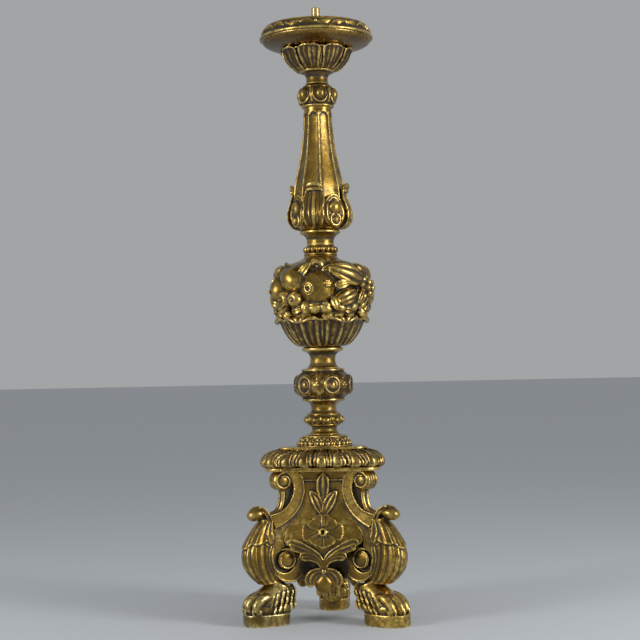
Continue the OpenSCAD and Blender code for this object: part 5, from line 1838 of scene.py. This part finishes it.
@dataclass
class PawFoot:
    """Lion's paw with four clawed toes on a flat plinth, drawn along +X."""

    middle: float = 111.5
    half_l: float = 37.5
    half_w: float = 26.0
    plinth_h: float = 19.0
    top: float = 62.0

    def build(self) -> None:
        """Builds one paw and its copies for the three legs."""
        parts = [*self._body(), *self._toes(), *self._fur()]
        paw = fused("paw", parts, voxel=0.95, soften=2)
        p = points_of(paw)
        paws = spread(paw, "paw_foot", LEG_ANGLES, eased(-p[:, 2], -60, -14), (-4, 4, 0))
        # The first paw takes a paler gilt: worn gold, and painted highlight.
        paws[0].data.materials[0] = WORN_AND_LIT_GILT.material()

    def _oval(self, grow: float, shift: float = 0.0) -> Outline:
        """The plinth's outline: straight sides with round ends."""
        rows = []
        for a in np.linspace(0, TAU, 72, endpoint=False):
            c, s = math.cos(a), math.sin(a)
            rows.append((self.middle + shift + (self.half_l + grow) * math.copysign(abs(c) ** 0.82, c),
                (self.half_w + grow) * math.copysign(abs(s) ** 0.72, s)))
        return rows

    def _body(self) -> list[Piece]:
        """Plinth, pad, instep and ankle."""
        plinth = upright("plinth", self._oval(0), 0.0, self.plinth_h)
        pad = ball("pad", (111, 0, 26), (36.5, 22.0, 17.5), segments=44)
        instep = swept("instep", flowing([(84, 0, 63), (89, 0, 53), (99, 0, 43), (113, 0, 35), (127, 0, 31)], 8),
            (20.5, 21.0, 22.4, 22.0, 18.0), facing=(0, 1, 0), sides=32)
        heel = ball("heel", (85, 0, 38), (18.5, 20.5, 31), segments=36)
        ankle = upright("ankle", [(86.5 + 25.0 * math.cos(a), 18.6 * math.sin(a))
                                  for a in np.linspace(0, TAU, 60, endpoint=False)], 50.0, self.top)
        cuff = hoop("cuff", (86.5, 0, 58), 19.8, 2.4, (1.17, 0.88, 1.1))
        return [plinth, pad, instep, heel, ankle, cuff]

    def _toes(self) -> list[Piece]:
        """Four toes with knuckles, and their claws."""
        parts = []
        for y, back in ((-18.6, 9.0), (-6.4, 0.8), (6.4, 0.0), (18.6, 8.0)):
            path = flowing([(110 - back, 0.75 * y, 44), (123 - back, 0.92 * y, 45.5), (134 - back, y, 41),
                (141.5 - back, y, 33), (143.5 - back, y, 24)], 7)
            parts.append(swept("toe", path, (4.6, 6.4, 7.4, 7.2, 6.2), facing=(0.5, 0, 1), sides=20))
            parts.append(ball("toe_pad", (139.5 - back, y, 24), (7.4, 6.6, 6.6), segments=20))
            claw = flowing([(142.5 - back, y, 31), (147.5 - back, y, 28), (149.4 - back, y, 22.6),
                (148.2 - back, y, 18.5)], 6)
            parts.append(swept("claw", claw, (3.0, 2.8, 2.0, 0.9), facing=(1, 0, 0)))
        return parts

    def _fur(self) -> list[Piece]:
        """Tufts of hair round the ankle and over the sides of the paw."""
        parts = []
        for k in range(17):
            across, row = k % 6, k // 6
            x = 68 + 8.6 * across + 4.3 * (row % 2)
            high = 58 - 9.5 * row - 0.35 * max(x - 84, 0)
            side = 20.0 + 2.2 * row - 0.012 * (x - 88) ** 2
            lean = 3.5 + 0.9 * across + 1.2 * math.sin(2.3 * k)
            path = flowing([(x, -side + 1.8, high), (x + 0.3 * lean, -side - 1.0, high - 5),
                (x + 0.8 * lean, -side - 1.6, high - 11), (x + 1.1 * lean, -side + 0.6, high - 16)], 6)
            parts.append(swept("tuft", path, (1.2, 3.5, 3.3, 0.7), flat=0.55))
        back = []
        for k, y in enumerate((-12, -6, 0, 6, 12, -9, -3, 3, 9)):
            high = 59 - 12 * (k > 4)
            path = flowing([(63.5 + 3 * (k > 4), y, high), (62.4 + 2 * (k > 4), 1.05 * y, high - 7),
                (64.0 + 3 * (k > 4), y, high - 15), (66.5, 0.9 * y, high - 21)], 6)
            back.append(swept("tuft", path, (1.6, 3.6, 3.2, 0.7), facing=(-1, 0, 0), flat=0.55))
        return mirrored(parts) + back


# ---- studio

@dataclass
class Studio:
    """Pale floor, plain soft lights and the camera at the photograph's angle."""

    azimuth: float = 6.0
    distance: float = 2.35
    eye: float = 0.412
    pitch: float = 1.80
    roll: float = -1.2
    lens: float = 80.8
    aside: float = 0.08
    floor_colour: tuple = rgba(0.62, 0.65, 0.68)
    world_colour: tuple = rgba(0.36, 0.37, 0.38)
    light_turn: float = 57.0
    light_powers: tuple = (17.0, 26.0)

    def build(self) -> None:
        """Builds everything that isn't part of the object."""
        self._floor()
        self._world()
        for side, power in zip((-1, 1), self.light_powers):
            self._softbox(side, power)
        self._camera()

    def _floor(self) -> None:
        """A wide plain floor."""
        floor = started("studio_floor", bpy.ops.mesh.primitive_plane_add, size=60)
        material = bpy.data.materials.new("studio_floor_pale")
        material.use_nodes = True
        shader = material.node_tree.nodes["Principled BSDF"]
        shader.inputs["Base Color"].default_value = self.floor_colour
        shader.inputs["Roughness"].default_value = 0.85
        floor.data.materials.append(material)

    def _world(self) -> None:
        """A plain pale surrounding."""
        world = bpy.data.worlds.new("studio_world")
        bpy.context.scene.world = world
        world.use_nodes = True
        world.node_tree.nodes["Background"].inputs[0].default_value = self.world_colour

    def _softbox(self, side: int, power: float) -> None:
        """One soft light in front of the object, to a side."""
        data = bpy.data.lights.new("softbox", "AREA")
        data.shape = "RECTANGLE"
        data.size, data.size_y = 0.7, 1.1
        data.energy = power
        light = bpy.data.objects.new("softbox", data)
        a = math.radians(270 + self.azimuth + side * self.light_turn)
        light.location = (2.1 * math.cos(a), 2.1 * math.sin(a), 0.92)
        aim = Vector((0, 0, 0.36)) - light.location
        light.rotation_mode = "QUATERNION"
        light.rotation_quaternion = aim.to_track_quat("-Z", "Y")
        bpy.context.scene.collection.objects.link(light)

    def _camera(self) -> None:
        """The camera, where the photograph was taken from."""
        data = bpy.data.cameras.new("camera")
        data.sensor_width = 36
        data.lens = self.lens
        camera = bpy.data.objects.new("camera", data)
        a, p = math.radians(self.azimuth), math.radians(self.pitch)
        camera.location = (self.distance * math.sin(a), -self.distance * math.cos(a), self.eye)
        look = a + math.radians(self.aside)
        ahead = Vector((-math.sin(look) * math.cos(p), math.cos(look) * math.cos(p), math.sin(p)))
        camera.rotation_mode = "QUATERNION"
        roll = rotation(self.roll).to_quaternion()
        camera.rotation_quaternion = ahead.to_track_quat("-Z", "Y") @ roll
        bpy.context.scene.collection.objects.link(camera)
        bpy.context.scene.camera = camera


def main() -> None:
    """Builds the pieces from the top down, then the studio."""
    logging.basicConfig(level=logging.INFO, format="%(message)s")
    bpy.context.scene.view_settings.view_transform = "Standard"
    for sub_assembly in (CandleTube(), DripPan(), LeafCup(), EggKnop(), FlutedShaft(), VaseNeck(), BeadRing(),
            FruitBasket(), FruitCalyx(), Spool(), RoundelKnop(), SmallKnop(), BeadCollar(),
            Board("cap_board_worn", "cap_board", CAP_PROFILE),
            Board("gadroon_board_carved", "gadroon_board", GADROON_PROFILE, gadroons=True, across=840),
            Board("fillet_board_worn", "fillet_board", FILLET_PROFILE), Console(), BasePanel(), PawFoot()):
        sub_assembly.build()
    for name in ("foot_dowels", "glue_blocks"):
        dress_node(name, BARE_WOOD)
    Studio().build()


if __name__ == "__main__":
    main()
